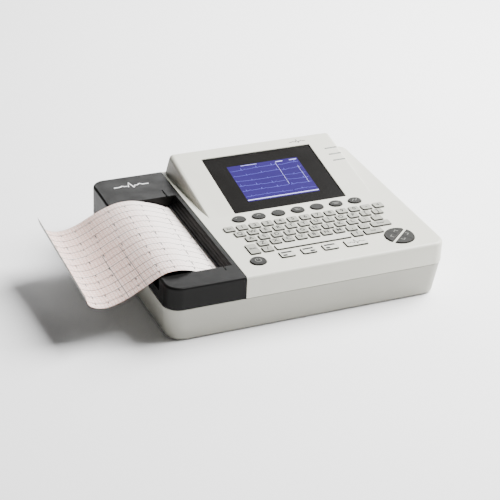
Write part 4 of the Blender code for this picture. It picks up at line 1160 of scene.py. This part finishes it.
# ---- Marks on the casing ----
def casing_marks():
    icon("casing_pulse", "lid", [pulse(28.0, 82.0, 298.5, 17.0)], 2.0, PALE_INK,
         DECK @ Matrix.Translation((0, 0, 0.02 * MM)), thickness=0.1 * MM)
    icon("hood_pulse", "base", [pulse(316.0, 343.0, 149.0, 9.0)], 1.3, LEGEND_AND_GROOVE_SHADE,
         HOOD @ Matrix.Translation((0, 0, 0.01 * MM)), thickness=0.06 * MM)


# ---- Studio ----
CENTRE = (0.0, 0.0, 0.05)
LIGHTS = (
    ("overhead", (1.6, 0.1, 1.9), CENTRE, (1.9, 1.9), 320.0),
    ("right_front", (0.85, -0.75, 0.35), (0.22, -0.15, 0.04), (0.35, 0.25), 1.5),
    ("back", (0.74, 1.66, 0.89), CENTRE, (1.0, 0.5), 14.0),
)
CAMERA_PLACE = Vector((-0.6244, -1.5986, 1.0781))


def area_light(name, place, target, size, power):
    light = bpy.data.lights.new(name, "AREA")
    light.shape = "RECTANGLE"
    light.size, light.size_y = size
    light.energy = power
    obj = bpy.data.objects.new(name, light)
    bpy.context.scene.collection.objects.link(obj)
    obj.location = place
    direction = Vector(target) - obj.location
    obj.rotation_euler = direction.to_track_quat("-Z", "Y").to_euler()


def camera():
    """At the height and turn of the reference view, a little rolled."""
    azimuth, elevation, roll = 0.433, 0.497, 0.047
    forward = Vector((math.sin(azimuth) * math.cos(elevation),
                      math.cos(azimuth) * math.cos(elevation), -math.sin(elevation)))
    right = forward.cross(Vector((0, 0, 1))).normalized()
    up = right.cross(forward)
    right_rolled = math.cos(roll) * right + math.sin(roll) * up
    up_rolled = -math.sin(roll) * right + math.cos(roll) * up
    data = bpy.data.cameras.new("camera")
    data.lens = 109.15
    data.sensor_width = 36.0
    obj = bpy.data.objects.new("camera", data)
    bpy.context.scene.collection.objects.link(obj)
    turn = Matrix((right_rolled, up_rolled, -forward)).transposed().to_4x4()
    turn.translation = CORNER @ CAMERA_PLACE
    obj.matrix_world = turn
    bpy.context.scene.camera = obj


def studio():
    bm = bmesh.new()
    bmesh.ops.create_grid(bm, x_segments=1, y_segments=1, size=6.0)
    floor = loose("floor", bm, Matrix.Identity(4))
    material, _, shader = new_material("floor_white")
    shader.inputs["Base Color"].default_value = (0.96, 0.96, 0.96, 1.0)
    shader.inputs["Roughness"].default_value = 0.9
    floor.data.materials.append(material)
    world = bpy.data.worlds.new("studio")
    bpy.context.scene.world = world
    world.use_nodes = True
    background = world.node_tree.nodes["Background"]
    background.inputs["Color"].default_value = (1.0, 1.0, 1.0, 1.0)
    background.inputs["Strength"].default_value = 0.08
    for light in LIGHTS:
        area_light(*light)


camera()
upper_shell()
lower_shell()
lid_shell()
guide_ribs()
keyboard()
legends()
key_icons()
display()
paper()
casing_marks()
studio()
